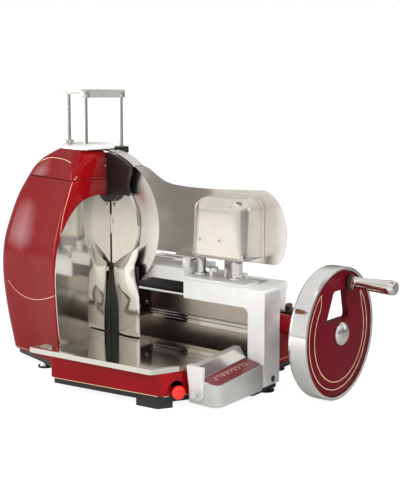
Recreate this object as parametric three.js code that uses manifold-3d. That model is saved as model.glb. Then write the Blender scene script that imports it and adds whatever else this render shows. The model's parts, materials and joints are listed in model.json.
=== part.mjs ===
// Hand crank meat slicer with a flywheel, a barrel shaped drive housing and a sliding carriage.
// Millimetres, +Z up. X runs from the housing to the flywheel, Y away from the person who slices.
// The blade stands square to Y and turns on a Y axis; the flywheel stands square to X.

import * as THREE from 'three';
import { mergeVertices } from 'three/addons/utils/BufferGeometryUtils.js';
import Module from 'manifold-3d';

const wasm = await Module();
wasm.setup();

// Clearances
const SEAT = 0.3;            // between two pieces that rest on each other
const RUN = 0.5;             // around a shaft or a rod that moves in a bore
const SLIDE = 1.5;           // between the carriage and what it passes

// Blade
const BLADE_X = -315, BLADE_Y = 175, BLADE_Z = 323;
const BLADE_R = 158, BLADE_RING_R = 118, BLADE_HUB_R = 40;
const BLADE_BACK = 3.5;      // from the blade's middle plane to its flat rear face
const SHAFT_R = 9;

// Drive housing
const WALL_X = -288;         // flat right wall, beside the slices
const HOUSING_BACK = 160, HOUSING_WALL = 4, SEAM_Z = 426, HOUSING_TOP = 490;
const PLINTH_LOW = 15, PLINTH_TOP = 28;
const PLATE_T = 4;           // back plate that carries the gears

// Gear train
const MODULE = 3, DRIVE_TEETH = 50, IDLER_TEETH = 39, PINION_TEETH = 12;
const GEAR_Y0 = 56, GEAR_WIDTH = 14, MESH_SLACK = 0.7;
const CROSS_X = -400;        // cross shaft, parallel to the blade shaft
const BEVEL_TEETH = 16, BEVEL_R = 30, BEVEL_INNER = 18;

// Flywheel and its shaft
const WHEEL_X = 243, AXIS_Y = 262, AXIS_Z = 137, WHEEL_R = 134, WHEEL_DEPTH = 40;
const RIM_T = 9, FACE_R = WHEEL_R - 7, WEB_T = 6, TUNNEL_R = 20, CRANK_R = 104, CRANK_ANGLE = 71;
const GRIP_R = 15, GRIP_LENGTH = 91, CRANK_PIN_R = 6, CRANK_BOSS_R = 13;

// Main base, wall panel and rails
const BASE_LEFT = -500, BASE_RIGHT = 59, BASE_FRONT = 246, BASE_BACK = 400, BASE_TOP = 117;
const BASE_STEP_X = -240, BASE_STEP_Y = 164, BASE_WALL = 6;
const PANEL_T = 2, PANEL_TOP = 167, PANEL_LEFT = -290, STRIP_Z = 115, STRIP_H = 16;
const RAIL_YS = [320, 372], RAIL_R = 8, RAIL_Z = 130, RAIL_X0 = -480, RAIL_X1 = 50;

// Front box and tray
const BOX_LEFT = -265, BOX_FRONT = -47, BOX_TOP = 73, BOX_BACK = 181, BOX_RIGHT = 38, BOX_WALL = 5;
const BOX_NOSE = [4, -9], BOX_EAR = [BOX_RIGHT, 45];
const TRAY_RIM = 84, TRAY_FLOOR = 76, TRAY_SHEET = 2, TRAY_LIP = 9, TRAY_FLANGE = 1.3;
const TRAY_LEFT = -318, TRAY_FRONT = -56, TRAY_NOSE = [-7, -28], TRAY_EAR = [31, 44];

// Thickness block
const BLOCK_LEFT = 41, BLOCK_RIGHT = 112, BLOCK_FRONT = 30, BLOCK_BACK = 181;
const BLOCK_LOW = 15, DESK_LEFT = 70, RIDGE_X = 55;
// Heights at the block's front and back: the desk's right edge, its left edge, the ridge
const DESK_NEAR = [57, 65, 86], DESK_FAR = [68, 76, 97];

// Carriage
const BAR_LEFT = -96, BAR_RIGHT = 113, BAR_LOW = 178, BAR_TOP = 218;
const BAR_FRONT = 184.5, BAR_BACK = 240.5, LEG_W = 41, LEG_LOW = 19;
const CARRIAGE_REAR = 392, ARM_T = 20, ARM_W = 32;
const TABLE_LEFT = -240, TABLE_TOP = 240, TABLE_BACK = 300, TABLE_T = 6, TABLE_RIGHT = 62, TONGUE_RIGHT = -10;

// Meat clamp and fence
const HOOD = { x0: -95, x1: 41, y0: 205, y1: 278, z0: 266, z1: 395, t: 3, r: 28, corner: 28, rim: 3 };
const COLUMN_RIGHT = { x: 16, y: 223, r: 12.5 }, COLUMN_LEFT = { x: -78, y: 225, r: 9.5 };
const COLUMN_TOP = 352;
const FENCE_Y = 285, FENCE_T = 2;

// Sharpener
const CAP = { x0: -400, x1: -295, front: [118, 92], y1: 196, z0: 490, z1: 503, r: 16 };
const CAP_ARM = { x: [-332, -297], y: [207, 244], down: 12, t: 3 };
const ROD_X = -312, ROD_FRONT_Y = 114, ROD_REAR_Y = 227, ROD_LEFT_X = -364, ROD_R = 4.5;
const ROD_TOP = 602.7, STRAP_H = 18, STONE_R = 12, STONE_Z = 468, STONE_T = 6;

// Feet
const FOOT_R = 17, LEG_FOOT_H = 9;

const RED = 0x8c0f16, BLACK = 0x141414, STEEL = 0xc9c9c7, ALUMINIUM = 0xb9bab8, BROWN = 0x3a1c12;

const root = new THREE.Group();

function material(color, roughness, metalness) {
  return new THREE.MeshStandardMaterial({ color, roughness, metalness });
}

const enamel = () => material(RED, 0.18, 0);
const black = () => material(BLACK, 0.45, 0);
const mirror = () => material(STEEL, 0.08, 1);
const brushed = () => material(STEEL, 0.3, 1);
const chrome = () => material(0xdedede, 0.06, 1);
const cast = () => material(ALUMINIUM, 0.45, 1);

// Geometry helpers

// Shared vertices merged, faces pointing out.
function closed(geometry) {
  let g = geometry.clone();
  g.deleteAttribute('normal');
  g.deleteAttribute('uv');
  g = mergeVertices(g, 1e-4);
  const p = g.attributes.position, index = Array.from(g.index.array), kept = [];
  let volume = 0;
  const a = new THREE.Vector3(), b = new THREE.Vector3(), c = new THREE.Vector3();
  for (let i = 0; i < index.length; i += 3) {
    const [u, v, w] = index.slice(i, i + 3);
    if (u === v || v === w || w === u) continue;
    kept.push(u, v, w);
    a.fromBufferAttribute(p, u); b.fromBufferAttribute(p, v); c.fromBufferAttribute(p, w);
    volume += a.dot(b.cross(c));
  }
  if (volume < 0) {
    for (let i = 0; i < kept.length; i += 3) [kept[i], kept[i + 1]] = [kept[i + 1], kept[i]];
  }
  g.setIndex(kept);
  return g;
}

function solid(geometry) {
  const g = closed(geometry);
  return new wasm.Manifold(new wasm.Mesh({
    numProp: 3,
    vertProperties: new Float32Array(g.attributes.position.array),
    triVerts: new Uint32Array(g.index.array),
  }));
}

function fromSolid(manifold) {
  const mesh = manifold.getMesh();
  const g = new THREE.BufferGeometry();
  g.setAttribute('position', new THREE.BufferAttribute(new Float32Array(mesh.vertProperties), 3));
  g.setIndex(Array.from(mesh.triVerts));
  return g;
}

const join = (first, ...rest) => fromSolid(rest.reduce((s, g) => s.add(solid(g)), solid(first)));
const cut = (first, ...rest) => fromSolid(rest.reduce((s, g) => s.subtract(solid(g)), solid(first)));
const common = (first, second) => fromSolid(solid(first).intersect(solid(second)));

function piece(name, geometry, mat, parent = root) {
  const g = closed(geometry);
  g.computeVertexNormals();
  const mesh = new THREE.Mesh(g, mat);
  mesh.name = name;
  parent.add(mesh);
  return mesh;
}

function box(x0, x1, y0, y1, z0, z1) {
  return new THREE.BoxGeometry(x1 - x0, y1 - y0, z1 - z0)
    .translate((x0 + x1) / 2, (y0 + y1) / 2, (z0 + z1) / 2);
}

// Turns local x, y, z of an extrusion into the part's axes for an extrusion along X, Y or Z.
const TO_X = new THREE.Matrix4().set(0, 0, 1, 0, 1, 0, 0, 0, 0, 1, 0, 0, 0, 0, 0, 1);
const TO_Y = new THREE.Matrix4().set(1, 0, 0, 0, 0, 0, -1, 0, 0, 1, 0, 0, 0, 0, 0, 1);

function extrude(shape, depth, curveSegments = 10) {
  return new THREE.ExtrudeGeometry(shape, { depth, bevelEnabled: false, curveSegments });
}

const prismZ = (shape, z0, z1, seg) => extrude(shape, z1 - z0, seg).translate(0, 0, z0);
const prismX = (shape, x0, x1, seg) => extrude(shape, x1 - x0, seg).applyMatrix4(TO_X).translate(x0, 0, 0);
const prismY = (shape, y0, y1, seg) => extrude(shape, y1 - y0, seg).applyMatrix4(TO_Y).translate(0, y1, 0);

function polygon(points) {
  return new THREE.Shape(points.map(([x, y]) => new THREE.Vector2(x, y)));
}

// Corners are [x, y, radius]; each one is rounded by its radius.
function rounded(corners) {
  const shape = new THREE.Shape();
  const n = corners.length;
  corners.forEach(([x, y, r = 0], i) => {
    const [px, py] = corners[(i + n - 1) % n], [nx, ny] = corners[(i + 1) % n];
    const back = new THREE.Vector2(px - x, py - y), ahead = new THREE.Vector2(nx - x, ny - y);
    const reach = Math.min(r, back.length() * 0.49, ahead.length() * 0.49);
    const a = back.setLength(reach), b = ahead.setLength(reach);
    if (i === 0) shape.moveTo(x + a.x, y + a.y);
    else shape.lineTo(x + a.x, y + a.y);
    if (reach > 0) shape.quadraticCurveTo(x, y, x + b.x, y + b.y);
  });
  shape.closePath();
  return shape;
}

const rect = (x0, x1, y0, y1, r = 0) => rounded([[x0, y0, r], [x1, y0, r], [x1, y1, r], [x0, y1, r]]);

function circle(x, y, r) {
  return new THREE.Shape().absarc(x, y, r, 0, Math.PI * 2, false);
}

// A profile of [radius, height] turned about an axis through (u, v).
function turned(profile, segments = 40) {
  return new THREE.LatheGeometry(profile.map(([r, h]) => new THREE.Vector2(r, h)), segments);
}

const turnedZ = (profile, x, y, seg) => turned(profile, seg).rotateX(Math.PI / 2).translate(x, y, 0);
const turnedY = (profile, x, z, seg) => turned(profile, seg).translate(x, 0, z);
const turnedX = (profile, y, z, seg) => turned(profile, seg).rotateZ(-Math.PI / 2).translate(0, y, z);

const rodProfile = (r, a, b) => [[0, a], [r, a], [r, b], [0, b]];
const tubeProfile = (r0, r1, a, b) => [[r0, a], [r1, a], [r1, b], [r0, b], [r0, a]];
const rodX = (y, z, r, a, b, seg = 18) => turnedX(rodProfile(r, a, b), y, z, seg);
const rodY = (x, z, r, a, b, seg = 18) => turnedY(rodProfile(r, a, b), x, z, seg);
const rodZ = (x, y, r, a, b, seg = 18) => turnedZ(rodProfile(r, a, b), x, y, seg);

// Skin through rings of points, all with the same count, closed by flat ends.
function loft(rings) {
  const n = rings[0].length, vertices = rings.flat(), index = [];
  for (let k = 0; k + 1 < rings.length; k += 1) {
    for (let i = 0; i < n; i += 1) {
      const a = k * n + i, b = k * n + (i + 1) % n;
      index.push(a, b, b + n, a, b + n, a + n);
    }
  }
  const flat = (ring) => ring.map((p) => new THREE.Vector2(p.x, p.y));
  const last = (rings.length - 1) * n;
  THREE.ShapeUtils.triangulateShape(flat(rings[0]), []).forEach(([a, b, c]) => index.push(c, b, a));
  THREE.ShapeUtils.triangulateShape(flat(rings[rings.length - 1]), [])
    .forEach(([a, b, c]) => index.push(last + a, last + b, last + c));
  const g = new THREE.BufferGeometry().setFromPoints(vertices);
  g.setIndex(index);
  return g;
}

// Value at z of a smooth curve through [z, value] points.
function curveAt(points, z) {
  if (z <= points[0][0]) return points[0][1];
  const last = points.length - 1;
  if (z >= points[last][0]) return points[last][1];
  const i = points.findIndex((p, k) => k < last && z < points[k + 1][0]);
  const [z0, v0] = points[i], [z1, v1] = points[i + 1];
  const slope = (k) => {
    if (k <= 0 || k >= last) return (points[Math.min(k + 1, last)][1] - points[Math.max(k - 1, 0)][1])
      / (points[Math.min(k + 1, last)][0] - points[Math.max(k - 1, 0)][0]);
    return (points[k + 1][1] - points[k - 1][1]) / (points[k + 1][0] - points[k - 1][0]);
  };
  const h = z1 - z0, t = (z - z0) / h, t2 = t * t, t3 = t2 * t;
  return v0 * (2 * t3 - 3 * t2 + 1) + v1 * (3 * t2 - 2 * t3)
    + h * (slope(i) * (t3 - 2 * t2 + t) + slope(i + 1) * (t3 - t2));
}

// Drive housing: a barrel with a flat right wall and a flat back

const RIDGE_Y = [[15, 8], [94, -2], [183, -8.5], [252, -10], [291, -5], [334, 7.5], [378, 23.5],
  [421, 45], [454, 56], [476, 68], [490, 86]];
const LEFT_X = [[15, -525], [60, -533], [105, -542], [150, -549], [190, -553], [230, -552], [265, -548],
  [300, -543], [330, -536], [360, -528], [385, -520], [405, -512], [430, -497], [460, -465], [480, -426],
  [490, -402]];
const RIGHT_X = [[455, WALL_X], [470, WALL_X - 2], [481, WALL_X - 8], [490, WALL_X - 24]];
const BEND = 108, BEND_SLOPE = 0.36, BEND_CORNER = 60, FRONT_SLOPE = 0.2;
const FRONT_CORNER = 46, BACK_CORNER = 30;
const RIDGE_CORNER = [[400, 7], [426, 10], [450, 20], [470, 36], [490, 60]];

function housingRing(z, inset, back, corner) {
  const xr = curveAt(RIGHT_X, z) - inset, xl = curveAt(LEFT_X, z) + inset;
  const yr = curveAt(RIDGE_Y, z) + inset;
  const run = Math.min(BEND, (xr - xl) / 2), xb = xr - run, yb = yr + run * BEND_SLOPE;
  const yl = Math.min(yb + (xb - xl) * FRONT_SLOPE, back - 12);
  const shape = rounded([[xr, yr, curveAt(RIDGE_CORNER, z)], [xr, back, 0],
    [xl, back, Math.min(BACK_CORNER, (back - yl) * 0.4)],
    [xl, yl, Math.min(FRONT_CORNER, (xr - xl) / 3)], [xb, yb, BEND_CORNER]]);
  return shape.getPoints(corner).slice(0, -1).map((p) => new THREE.Vector3(p.x, p.y, z));
}

function housingBody(z0, z1, inset, back = HOUSING_BACK, steps = 11, corner = 5) {
  const rings = [];
  for (let k = 0; k <= steps; k += 1) {
    rings.push(housingRing(z0 + (z1 - z0) * k / steps, inset, back, corner));
  }
  return loft(rings);
}

function housing() {
  const shell = cut(housingBody(PLINTH_TOP + SEAT, SEAM_Z, 0),
    housingBody(PLINTH_TOP - 5, SEAM_Z + 5, HOUSING_WALL, HOUSING_BACK + 10, 6, 3));
  piece('drive_housing', shell, enamel());
  const lid = cut(housingBody(SEAM_Z + SEAT, HOUSING_TOP, 0, HOUSING_BACK, 7),
    housingBody(SEAM_Z - 5, HOUSING_TOP - HOUSING_WALL, HOUSING_WALL, HOUSING_BACK - HOUSING_WALL, 4, 3),
    box(ROD_X - STONE_R - 4, ROD_X + STONE_R + 3, HOUSING_BACK - 20, HOUSING_BACK + 5, SEAM_Z - 5,
      STONE_Z + STONE_R + 4),
    ...[ROD_X, ROD_LEFT_X].map((x) => rodZ(x, ROD_FRONT_Y, ROD_R + RUN, HOUSING_TOP - 20, HOUSING_TOP + 10)));
  piece('housing_top_cover', lid, enamel());
}
housing();

// Back plate inside the housing, with the bosses of the blade shaft, the cross shaft and the idler

const driveR = MODULE * DRIVE_TEETH / 2, idlerR = MODULE * IDLER_TEETH / 2, pinionR = MODULE * PINION_TEETH / 2;

// Idler centre: it meshes with the drive gear below and the pinion above.
function idlerCentre() {
  const a = driveR + idlerR, b = idlerR + pinionR;
  const dx = BLADE_X - CROSS_X, dz = BLADE_Z - AXIS_Z, d = Math.hypot(dx, dz);
  const along = (a * a - b * b + d * d) / (2 * d), side = Math.sqrt(Math.max(a * a - along * along, 0));
  return [CROSS_X + (dx * along - dz * side) / d, AXIS_Z + (dz * along + dx * side) / d];
}
const [IDLER_X, IDLER_Z] = idlerCentre();
const BOSS_R = 18, IDLER_PIN_R = 8, plateY = HOUSING_BACK - PLATE_T;
const bossFront = GEAR_Y0 + GEAR_WIDTH + 4;

function backPlate() {
  const sheet = common(
    housingBody(PLINTH_TOP - 5, SEAM_Z + 5, HOUSING_WALL + SEAT, HOUSING_BACK + 10, 6, 3),
    box(WALL_X - 400, WALL_X + 10, plateY, HOUSING_BACK - SEAT, PLINTH_TOP + SEAT + 1, SEAM_Z - 1));
  const bossed = join(sheet, rodY(BLADE_X, BLADE_Z, BOSS_R, bossFront, plateY + 1),
    rodY(CROSS_X, AXIS_Z, BOSS_R, bossFront, plateY + 1),
    rodY(IDLER_X, IDLER_Z, BOSS_R, bossFront, plateY + 1),
    rodY(IDLER_X, IDLER_Z, IDLER_PIN_R, GEAR_Y0 - 3, plateY));
  piece('housing_back_plate', cut(bossed,
    rodY(BLADE_X, BLADE_Z, SHAFT_R + RUN, 0, 200), rodY(CROSS_X, AXIS_Z, SHAFT_R + RUN, 0, 200)), cast());
}
backPlate();

// Gears

// Outline of a straight toothed wheel; the first tooth points along the angle "phase".
function gearShape(teeth, module, phase, slack) {
  const r = module * teeth / 2, tip = r + module * 0.8, rootR = r - module * 1.15;
  const pitch = Math.PI * 2 / teeth, shape = new THREE.Shape();
  const half = pitch / 4 - slack / 2 / r;
  const tipHalf = half - module * 0.3 / r, rootHalf = half + module * 0.42 / r;
  for (let i = 0; i < teeth; i += 1) {
    const c = phase + i * pitch;
    [[rootR, -rootHalf], [tip, -tipHalf], [tip, tipHalf], [rootR, rootHalf]].forEach(([rad, off], k) => {
      const x = rad * Math.cos(c + off), y = rad * Math.sin(c + off);
      if (i === 0 && k === 0) shape.moveTo(x, y);
      else shape.lineTo(x, y);
    });
  }
  shape.closePath();
  return shape;
}

// A spur gear on a Y axis at (x, z), bored for its shaft.
function spurGear(teeth, x, z, phase, bore) {
  const shape = gearShape(teeth, MODULE, phase, MESH_SLACK);
  shape.holes.push(circle(0, 0, bore));
  return extrude(shape, GEAR_WIDTH, 8).applyMatrix4(TO_Y).translate(x, GEAR_Y0 + GEAR_WIDTH, z);
}

// Phase of a second gear so that its gap faces the first gear's tooth along the line between them.
function meshPhase(teethA, phaseA, teethB, angle) {
  const atContact = (angle - phaseA) * teethA / (Math.PI * 2);
  const offset = atContact - Math.floor(atContact);
  return angle + Math.PI + (offset + 0.5) * Math.PI * 2 / teethB;
}

function gearTrain() {
  const up = Math.atan2(IDLER_Z - AXIS_Z, IDLER_X - CROSS_X);
  const on = Math.atan2(BLADE_Z - IDLER_Z, BLADE_X - IDLER_X);
  const idlerPhase = meshPhase(DRIVE_TEETH, 0, IDLER_TEETH, up);
  const pinionPhase = meshPhase(IDLER_TEETH, idlerPhase, PINION_TEETH, on);
  piece('drive_gear', spurGear(DRIVE_TEETH, CROSS_X, AXIS_Z, 0, SHAFT_R + SEAT), brushed());
  piece('idler_gear', spurGear(IDLER_TEETH, IDLER_X, IDLER_Z, idlerPhase, IDLER_PIN_R + RUN), brushed());
  piece('blade_pinion', spurGear(PINION_TEETH, BLADE_X, BLADE_Z, pinionPhase, SHAFT_R + SEAT), brushed());
}
gearTrain();

// Blade, its shaft and its nut

function blade() {
  const back = BLADE_Y + BLADE_BACK;
  piece('blade', turnedY([[SHAFT_R + SEAT, back - 3], [BLADE_HUB_R, back - 3], [BLADE_RING_R, back - 6.5],
    [BLADE_R, back - 1.2], [BLADE_R, back - 0.5], [BLADE_RING_R, back],
    [SHAFT_R + SEAT, back], [SHAFT_R + SEAT, back - 3]], BLADE_X, BLADE_Z, 44), mirror());
  const seat = back - 3 - SEAT;
  piece('blade_shaft', turnedY([[0, GEAR_Y0 - 6], [SHAFT_R, GEAR_Y0 - 6], [SHAFT_R, seat - 8],
    [28, seat - 8], [28, seat], [SHAFT_R, seat], [SHAFT_R, back + 4], [0, back + 4]],
  BLADE_X, BLADE_Z, 20), brushed());
  piece('blade_nut', turnedY([[0, back + 4 + SEAT], [SHAFT_R + SEAT, back + 4 + SEAT],
    [SHAFT_R + SEAT, back + SEAT], [22, back + SEAT], [20, back + 5], [8, back + 7], [0, back + 7]],
  BLADE_X, BLADE_Z, 20), chrome());
}
blade();

// Polished pieces in front of the blade

const WALL_PLATE_X = WALL_X + SEAT, WALL_PLATE_T = 2;

const COVER_R = 110, COVER_BACK = BLADE_Y - 9.2, COVER_T = 3, COVER_LIP = BLADE_Y - 4;

// Right edge of the slice deflector: guide point and end of each curve.
const CHUTE_EDGE = [[-230, 264, -203, 279], [-203, 254, -213, 238], [-214, 200, -202, 112]];

function bladeCovers() {
  const back = COVER_BACK, front = COVER_BACK - COVER_T;
  piece('hub_cover', turnedY([[30, HOUSING_BACK + SEAT], [36, HOUSING_BACK + SEAT], [36, front],
    [COVER_R - 2, front], [COVER_R, back], [COVER_R, COVER_LIP], [COVER_R - COVER_T, COVER_LIP],
    [COVER_R - COVER_T, back], [30, back], [30, HOUSING_BACK + SEAT]], BLADE_X, BLADE_Z, 32), mirror());

  const chute = new THREE.Shape();
  chute.moveTo(WALL_X + 6, BLADE_Z - COVER_R * 0.7);
  CHUTE_EDGE.forEach((p) => chute.quadraticCurveTo(...p));
  chute.lineTo(CHUTE_EDGE[2][2], TRAY_FLOOR + TRAY_SHEET + SEAT);
  chute.lineTo(WALL_X + 6, TRAY_FLOOR + TRAY_SHEET + SEAT);
  chute.closePath();
  piece('slice_deflector', prismY(chute, front - 2 - SEAT, front - SEAT, 8), mirror());
}
bladeCovers();

// Sharpener housing: black cover over the blade's upper right, with its polished rim

const GUARD_R = BLADE_R + 5.9, GUARD_T = 3;

function arcPoint(r, degrees) {
  const a = degrees * Math.PI / 180;
  return [BLADE_X + r * Math.cos(a), BLADE_Z + r * Math.sin(a)];
}

// Outline of a band between two radii and two angles about the blade's centre.
function band(r0, r1, from, to, steps) {
  const at = (k) => from + (to - from) * k / steps;
  const outer = [], inner = [];
  for (let k = 0; k <= steps; k += 1) {
    outer.push(arcPoint(r1, at(k)));
    inner.unshift(arcPoint(r0, at(k)));
  }
  return polygon([...outer, ...inner]);
}

// Lower edge of the black cover: guide point and end of each curve.
const COVER_LOW = 373, COVER_EDGE = [[-268, 374, -258, 386], [-250, 393, -224, 391],
  [-230, 420, ...arcPoint(GUARD_R - SEAT - 8, 51)]];

function guards() {
  piece('sharpener_rim', prismY(band(GUARD_R, GUARD_R + GUARD_T, 53, 88, 14), 160.4, 192), mirror());
  const cover = new THREE.Shape(), left = WALL_PLATE_X + WALL_PLATE_T + SEAT;
  cover.moveTo(left, COVER_LOW);
  COVER_EDGE.forEach((p) => cover.quadraticCurveTo(...p));
  for (let d = 54; d <= 78; d += 4) cover.lineTo(...arcPoint(GUARD_R - SEAT, d));
  cover.lineTo(left, arcPoint(GUARD_R - SEAT, 79.5)[1]);
  cover.closePath();
  piece('sharpener_cover', prismY(cover, 151, 160.1, 8), black());
  piece('blade_ring_guard', prismY(band(GUARD_R, GUARD_R + GUARD_T, 118, 262, 40),
    HOUSING_BACK + SEAT, BAR_FRONT - SLIDE), mirror());
}
guards();

// Mirror plate on the housing's right wall, with its three screws

const WALL_SCREWS = [[148, 366], [34, 270], [152, 224]];

function wallPlate() {
  const low = TRAY_FLOOR + TRAY_SHEET + SEAT, edge = HOUSING_BACK - SEAT;
  const s = new THREE.Shape();
  s.moveTo(edge, low);
  s.lineTo(edge, 388);
  s.lineTo(120, 392);
  s.bezierCurveTo(60, 390, 34, 352, 14, 322);
  s.bezierCurveTo(-2, 292, -7, 262, -7.5, 222);
  s.bezierCurveTo(-7.5, 180, -4, 140, 3, low);
  s.closePath();
  WALL_SCREWS.forEach(([y, z]) => s.holes.push(circle(y, z, 3)));
  piece('wall_plate', prismX(s, WALL_PLATE_X, WALL_PLATE_X + WALL_PLATE_T, 10), mirror());
  const head = WALL_PLATE_X + WALL_PLATE_T + SEAT;
  const screw = ([y, z]) => turnedX([[0, WALL_PLATE_X + 0.1], [2.6, WALL_PLATE_X + 0.1], [2.6, head],
    [5.5, head], [5, head + 2], [3, head + 3], [0, head + 3.3]], y, z, 10);
  WALL_SCREWS.forEach((place, i) => piece(`plate_screw_${i + 1}`, screw(place), chrome()));
}
wallPlate();

// Plinth, main base, front box

function plinth() {
  const backLeft = BASE_LEFT + 6, left = LEFT_X[0][1] + 5, front = RIDGE_Y[0][1] + 4;
  const s = rounded([[left, 80, 40], [WALL_X - BEND, front + BEND * BEND_SLOPE, 30], [WALL_X, front, 4],
    [WALL_X + 4, front - 4, 0], [BOX_LEFT + 4, BOX_FRONT + 5, 8], [BOX_NOSE[0] - 2, BOX_NOSE[1] + 4, 12],
    [BOX_RIGHT - 4, BOX_EAR[1] + 3, 8], [BOX_RIGHT - 4, BOX_BACK - 2, 2],
    [BASE_STEP_X + 4, BOX_BACK - 2, 0], [BASE_STEP_X - 4, BASE_FRONT + 4, 0],
    [BASE_RIGHT - 4, BASE_FRONT + 4, 4], [BASE_RIGHT - 4, BASE_BACK - 4, 20], [backLeft, BASE_BACK - 4, 20],
    [backLeft, HOUSING_BACK + 8, 0], [left, HOUSING_BACK - 4, 20]]);
  const legFoot = BAR_RIGHT - 5, tieX = BASE_RIGHT - 13;
  const bridge = prismZ(rounded([[tieX, 150, 4], [legFoot, 150, 8], [legFoot, BAR_BACK, 8],
    [BASE_RIGHT - 6, BAR_BACK + 8, 0], [BASE_RIGHT - 6, 320, 0], [tieX, 320, 0]]),
  LEG_FOOT_H, PLINTH_LOW, 4);
  const tie = box(tieX, BASE_RIGHT - 6, 262, 320, LEG_FOOT_H + 1, PLINTH_LOW + 3);
  piece('base_plinth', join(prismZ(s, PLINTH_LOW, PLINTH_TOP, 6), bridge, tie), black());
}
plinth();

function mainBase() {
  const outline = (inset) => rounded([[BASE_LEFT + inset, BASE_STEP_Y + inset, 8],
    [BASE_STEP_X - inset, BASE_STEP_Y + inset, 4], [BASE_STEP_X - inset, BASE_FRONT + inset, 0],
    [BASE_RIGHT - inset, BASE_FRONT + inset, 6], [BASE_RIGHT - inset, BASE_BACK - inset, 24],
    [BASE_LEFT + inset, BASE_BACK - inset, 24]]);
  const gearWell = box(CROSS_X - BEVEL_R - 6, CROSS_X + BEVEL_R + 14, AXIS_Y - BEVEL_R - 10,
    AXIS_Y + BEVEL_R + 6, BASE_TOP - 30, BASE_TOP + 1);
  const base = cut(prismZ(outline(0), PLINTH_TOP + SEAT, BASE_TOP, 6),
    prismZ(outline(BASE_WALL), PLINTH_TOP - 5, BASE_TOP - BASE_WALL, 6), gearWell);
  piece('main_base', base, enamel());
}
mainBase();

// The box's chamfered corner carries the release knob, whose axis is square to the chamfer.
const CHAMFER = Math.atan2(BOX_NOSE[0] - BOX_EAR[0], BOX_EAR[1] - BOX_NOSE[1]);
const KNOB_X = (BOX_NOSE[0] + BOX_EAR[0]) / 2, KNOB_Y = (BOX_NOSE[1] + BOX_EAR[1]) / 2;
const KNOB_R = 13.5, KNOB_STEM_R = 5, KNOB_Z = 37, RECESS_R = 13;

const onChamfer = (g, z) => g.rotateZ(CHAMFER).translate(KNOB_X, KNOB_Y, z);

function frontBox() {
  const back = BASE_STEP_Y - 1, left = WALL_X + 2;
  const outline = (i) => rounded([[BOX_LEFT + i, BOX_FRONT + i, 10],
    [BOX_NOSE[0] - i * 0.4, BOX_NOSE[1] + i, 8],
    [BOX_EAR[0] - i, BOX_EAR[1] + i * 0.4, 6], [BOX_RIGHT - i, BOX_BACK - i, 2],
    [BASE_STEP_X + 4, BOX_BACK - i, 0], [BASE_STEP_X + 4, back - i, 0], [left + i, back - i, 0],
    [left + i, RIDGE_Y[0][1] + i, 0]]);
  const recessZ = KNOB_Z - KNOB_STEM_R - 0.4 + RECESS_R;
  piece('front_box', cut(prismZ(outline(0), PLINTH_TOP + SEAT, BOX_TOP, 6),
    prismZ(outline(BOX_WALL), PLINTH_TOP - 5, BOX_TOP - BOX_WALL, 6),
    onChamfer(rodX(0, 0, RECESS_R, -14, 12, 20), recessZ)), enamel());
  piece('release_knob', onChamfer(turnedX([[0, -16], [KNOB_STEM_R, -16], [KNOB_STEM_R, 5],
    [KNOB_R - 2, 6], [KNOB_R, 9], [KNOB_R, 15], [KNOB_R - 3, 18], [0, 19.5]], 0, 0, 16), KNOB_Z),
  material(0xd8150c, 0.3, 0));
}
frontBox();

function sliceTray() {
  const low = BOX_TOP + SEAT, floor = TRAY_FLOOR + TRAY_SHEET, lip = TRAY_LIP, right = BLOCK_LEFT - 1.5;
  const back = BOX_BACK + SEAT + TRAY_FLANGE, stepX = BASE_STEP_X + 2, stepY = BASE_STEP_Y - 0.6;
  const wall = WALL_X + SEAT, corner = RIDGE_Y[3][1] - 1;
  const outer = rounded([[TRAY_LEFT, TRAY_FRONT, 4], [...TRAY_NOSE, 8], [...TRAY_EAR, 8],
    [right, TRAY_EAR[1] + 22, 6],
    [right, back, 2], [stepX, back, 0], [stepX, stepY, 0], [wall, stepY, 0],
    [wall, corner, 0], [TRAY_LEFT, corner, 2]]);
  const pocket = rounded([[TRAY_LEFT + lip, TRAY_FRONT + lip, 3],
    [TRAY_NOSE[0] - lip * 0.6, TRAY_NOSE[1] + lip, 6],
    [TRAY_EAR[0] - lip, TRAY_EAR[1] + 3, 6], [right - lip, TRAY_EAR[1] + 24, 4], [right - lip, back + 5, 0],
    [wall - 5, back + 5, 0], [wall - 5, corner - lip / 2, 0], [TRAY_LEFT + lip, corner - lip / 2, 0]]);
  const flange = box(stepX, right, BOX_BACK + SEAT, back, PLINTH_TOP + 5, low + 1);
  piece('slice_tray', join(cut(prismZ(outer, low, TRAY_RIM, 5), prismZ(pocket, floor, TRAY_RIM + 2, 5)),
    flange), mirror());
}
sliceTray();

function wallPanel() {
  const y1 = BASE_FRONT - 0.5, y0 = y1 - PANEL_T, x0 = BASE_STEP_X + 1;
  const side = box(x0, x0 + PANEL_T, BAR_FRONT + SLIDE, y1 - 1, PLINTH_TOP + 4, BASE_TOP - 4);
  const outline = rounded([[x0, PLINTH_TOP + 4, 0], [BASE_RIGHT - 1, PLINTH_TOP + 4, 4],
    [BASE_RIGHT - 1, PANEL_TOP, 4], [PANEL_LEFT, PANEL_TOP, 4], [PANEL_LEFT, BASE_TOP + 1.5, 2],
    [x0, BASE_TOP + 1.5, 0]]);
  piece('wall_panel', join(prismY(outline, y0, y1, 4), side), mirror());
  const face = y0 - SEAT, half = STRIP_H / 2;
  const profile = polygon([[face, STRIP_Z - half], [face, STRIP_Z + half], [face - 1.4, STRIP_Z + half],
    [face - 1.4, STRIP_Z + 2.5], [face - 0.6, STRIP_Z + 1.5], [face - 0.6, STRIP_Z - 1.5],
    [face - 1.4, STRIP_Z - 2.5], [face - 1.4, STRIP_Z - half]]);
  piece('rail_strip', prismX(profile, x0 + 6, BASE_RIGHT - 8), brushed());
}
wallPanel();

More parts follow.
